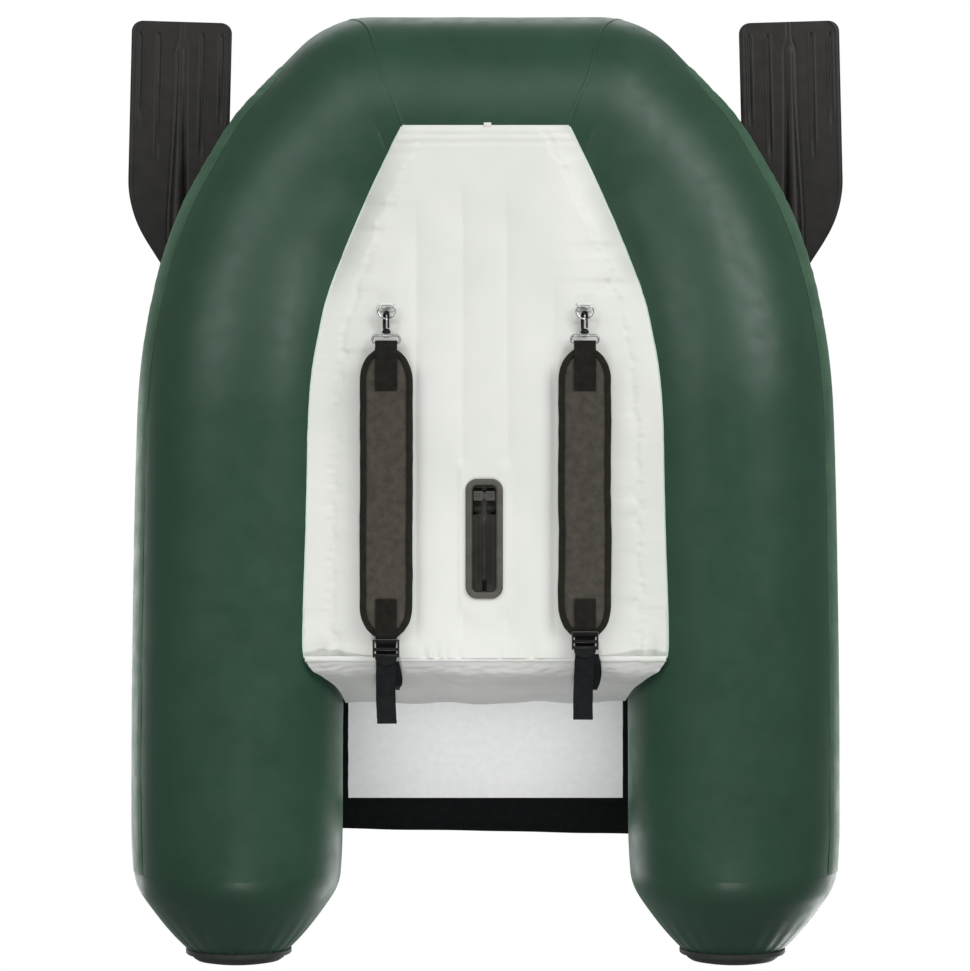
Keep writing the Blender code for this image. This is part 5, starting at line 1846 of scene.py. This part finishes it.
def valve_matrix(side):
    """Origin on the tube's skin under the valve, z straight out of it."""
    y = 0.0200
    out = Vector((-side * math.sin(VALVE_TURN), 0, math.cos(VALVE_TURN)))
    x = next(
        a[1] + (b[1] - a[1]) * (y - a[2]) / (b[2] - a[2])
        for a, b in zip(COURSE, COURSE[1:])
        if b[2] >= y
    )
    foot = Vector((side * x, y, TUBE_R)) + out * (TUBE_R + 0.0012)
    y_axis = Vector((0, 1, 0))
    return axes(foot, y_axis.cross(out), y_axis, out)


def make_valve(name, side):
    matrix = valve_matrix(side)
    base = [
        (0.0, 0.0098), (0.0165, 0.0098), (0.0185, 0.0092), (0.0196, 0.0078), (0.0200, 0.0058),
        (0.0225, 0.0050), (0.0300, 0.0040), (0.0316, 0.0030), (0.0320, 0.0008), (0.0316, 0.0),
        (0.0, 0.0),
    ]
    bm = lathe(base, matrix, 56)
    rivet = [(0.0, 0.0058), (0.0012, 0.0057), (0.0016, 0.0050), (0.0016, 0.0040), (0.0, 0.0040)]
    rivets, circle = 6, 0.026
    for i in range(rivets):
        turn = math.tau * i / rivets
        spot = Vector((circle * math.cos(turn), circle * math.sin(turn), 0))
        lathe(rivet, matrix @ Matrix.Translation(spot), 12, bm)
    piece(f"{name}_valve_seat", bm, "abs", "hull", f"{name}_valve_base", 40)
    cap = [
        (0.0, 0.0168), (0.0090, 0.0168), (0.0110, 0.0174), (0.0130, 0.0178), (0.0215, 0.0178),
        (0.0238, 0.0172), (0.0252, 0.0156), (0.0256, 0.0130), (0.0256, 0.0108), (0.0250, 0.0104),
        (0.0, 0.0104),
    ]
    bm = lathe(cap, matrix, 56)
    ribs = 28
    for i in range(ribs):
        rib = matrix @ Matrix.Rotation(math.tau * i / ribs, 4, "Z")
        bar((0.0250, -0.0008, 0.0112), (0.0264, 0.0008, 0.0152), 0.0003, bm, rib, 1)
    # the living hinge that keeps the cap with the valve
    bar((-0.005, -0.0305, 0.0104), (0.005, -0.0225, 0.0122), 0.0005, bm, matrix, 2)
    # finger bar over the cap's dish
    bar((-0.0105, -0.0022, 0.0160), (0.0105, 0.0022, 0.0179), 0.0007, bm, matrix, 2)
    piece(f"{name}_cap_lid", bm, "abs", f"{name}_cap", f"{name}_valve_cap", 40)


def make_handle():
    """Webbing handle over the bow, sewn to a patch at either end."""
    low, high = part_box("bow_handle")
    rest = low.z + 0.0012
    peak = high.z - 0.0012
    half = high.x
    path = [
        (0.0, -half + 0.001, rest), (0.14, -half + 0.030, rest),
        (0.24, -half + 0.048, rest + 0.006), (0.36, -0.036, peak - 0.010), (0.50, 0.0, peak),
        (0.64, 0.036, peak - 0.010), (0.76, half - 0.048, rest + 0.006), (0.86, half - 0.030, rest),
        (1.0, half - 0.001, rest),
    ]
    middle = (low.y + high.y) / 2

    def place(u, v):
        x, z = read(path, v)
        grip = ease((0.5 - abs(v - 0.5) - 0.18) / 0.15)
        width = (high.y - low.y - 0.004) * (1 - 0.35 * grip)
        across = (u - 0.5) * width
        curve = math.sqrt(TUBE_R**2 - across**2) - TUBE_R
        curl = grip * 0.006 * (2 * u - 1) ** 2
        return Vector((x, middle + across, z + curve * (1 - grip) - curl))

    bm = thicken(laid_grid(16, 120, place), 0.0020)
    piece("handle_strap", bm, "webbing", "hull", "bow_handle", 50)
    for name, side in SIDES.items():

        def patch(u, v, side=side):
            run = BOW_START + CORNER.x - 0.090 + (u - 0.5) * 0.060
            angle = math.radians(-90) + (v - 0.5) * 0.062 / TUBE_R
            edge = max(abs(2 * u - 1), abs(2 * v - 1))
            lift = 0.0011 * ease((1 - edge) / 0.10) - 0.0003
            return hull_point(run, angle, lift, side)

        bm = thicken(laid_grid(24, 24, patch), 0.0008)
        piece(f"{name}_handle_patch", bm, "green_tape_painted_sheen", "hull", (), 50)


# ---------------------------------------------------------------- put it together
bpy.context.scene.view_settings.view_transform = "Standard"
make_camera()
make_world()
make_lights()
make_ground()
FINISHES = make_finishes()
make_hull()
make_seams()
make_floor()
make_floor_body()
make_floor_edges()
make_flap()
make_fin_box()
for side_name, side_sign in SIDES.items():
    make_pad(side_name, side_sign)
    make_straps(side_name, side_sign)
    make_ring(side_name, side_sign)
    make_swivel_loop(side_name, side_sign)
    make_hook(side_name, side_sign)
    make_oar(side_name, side_sign)
    make_oarlock(side_name)
    make_valve(side_name, side_sign)
make_apron()
make_seat()
make_backrest()
make_handle()
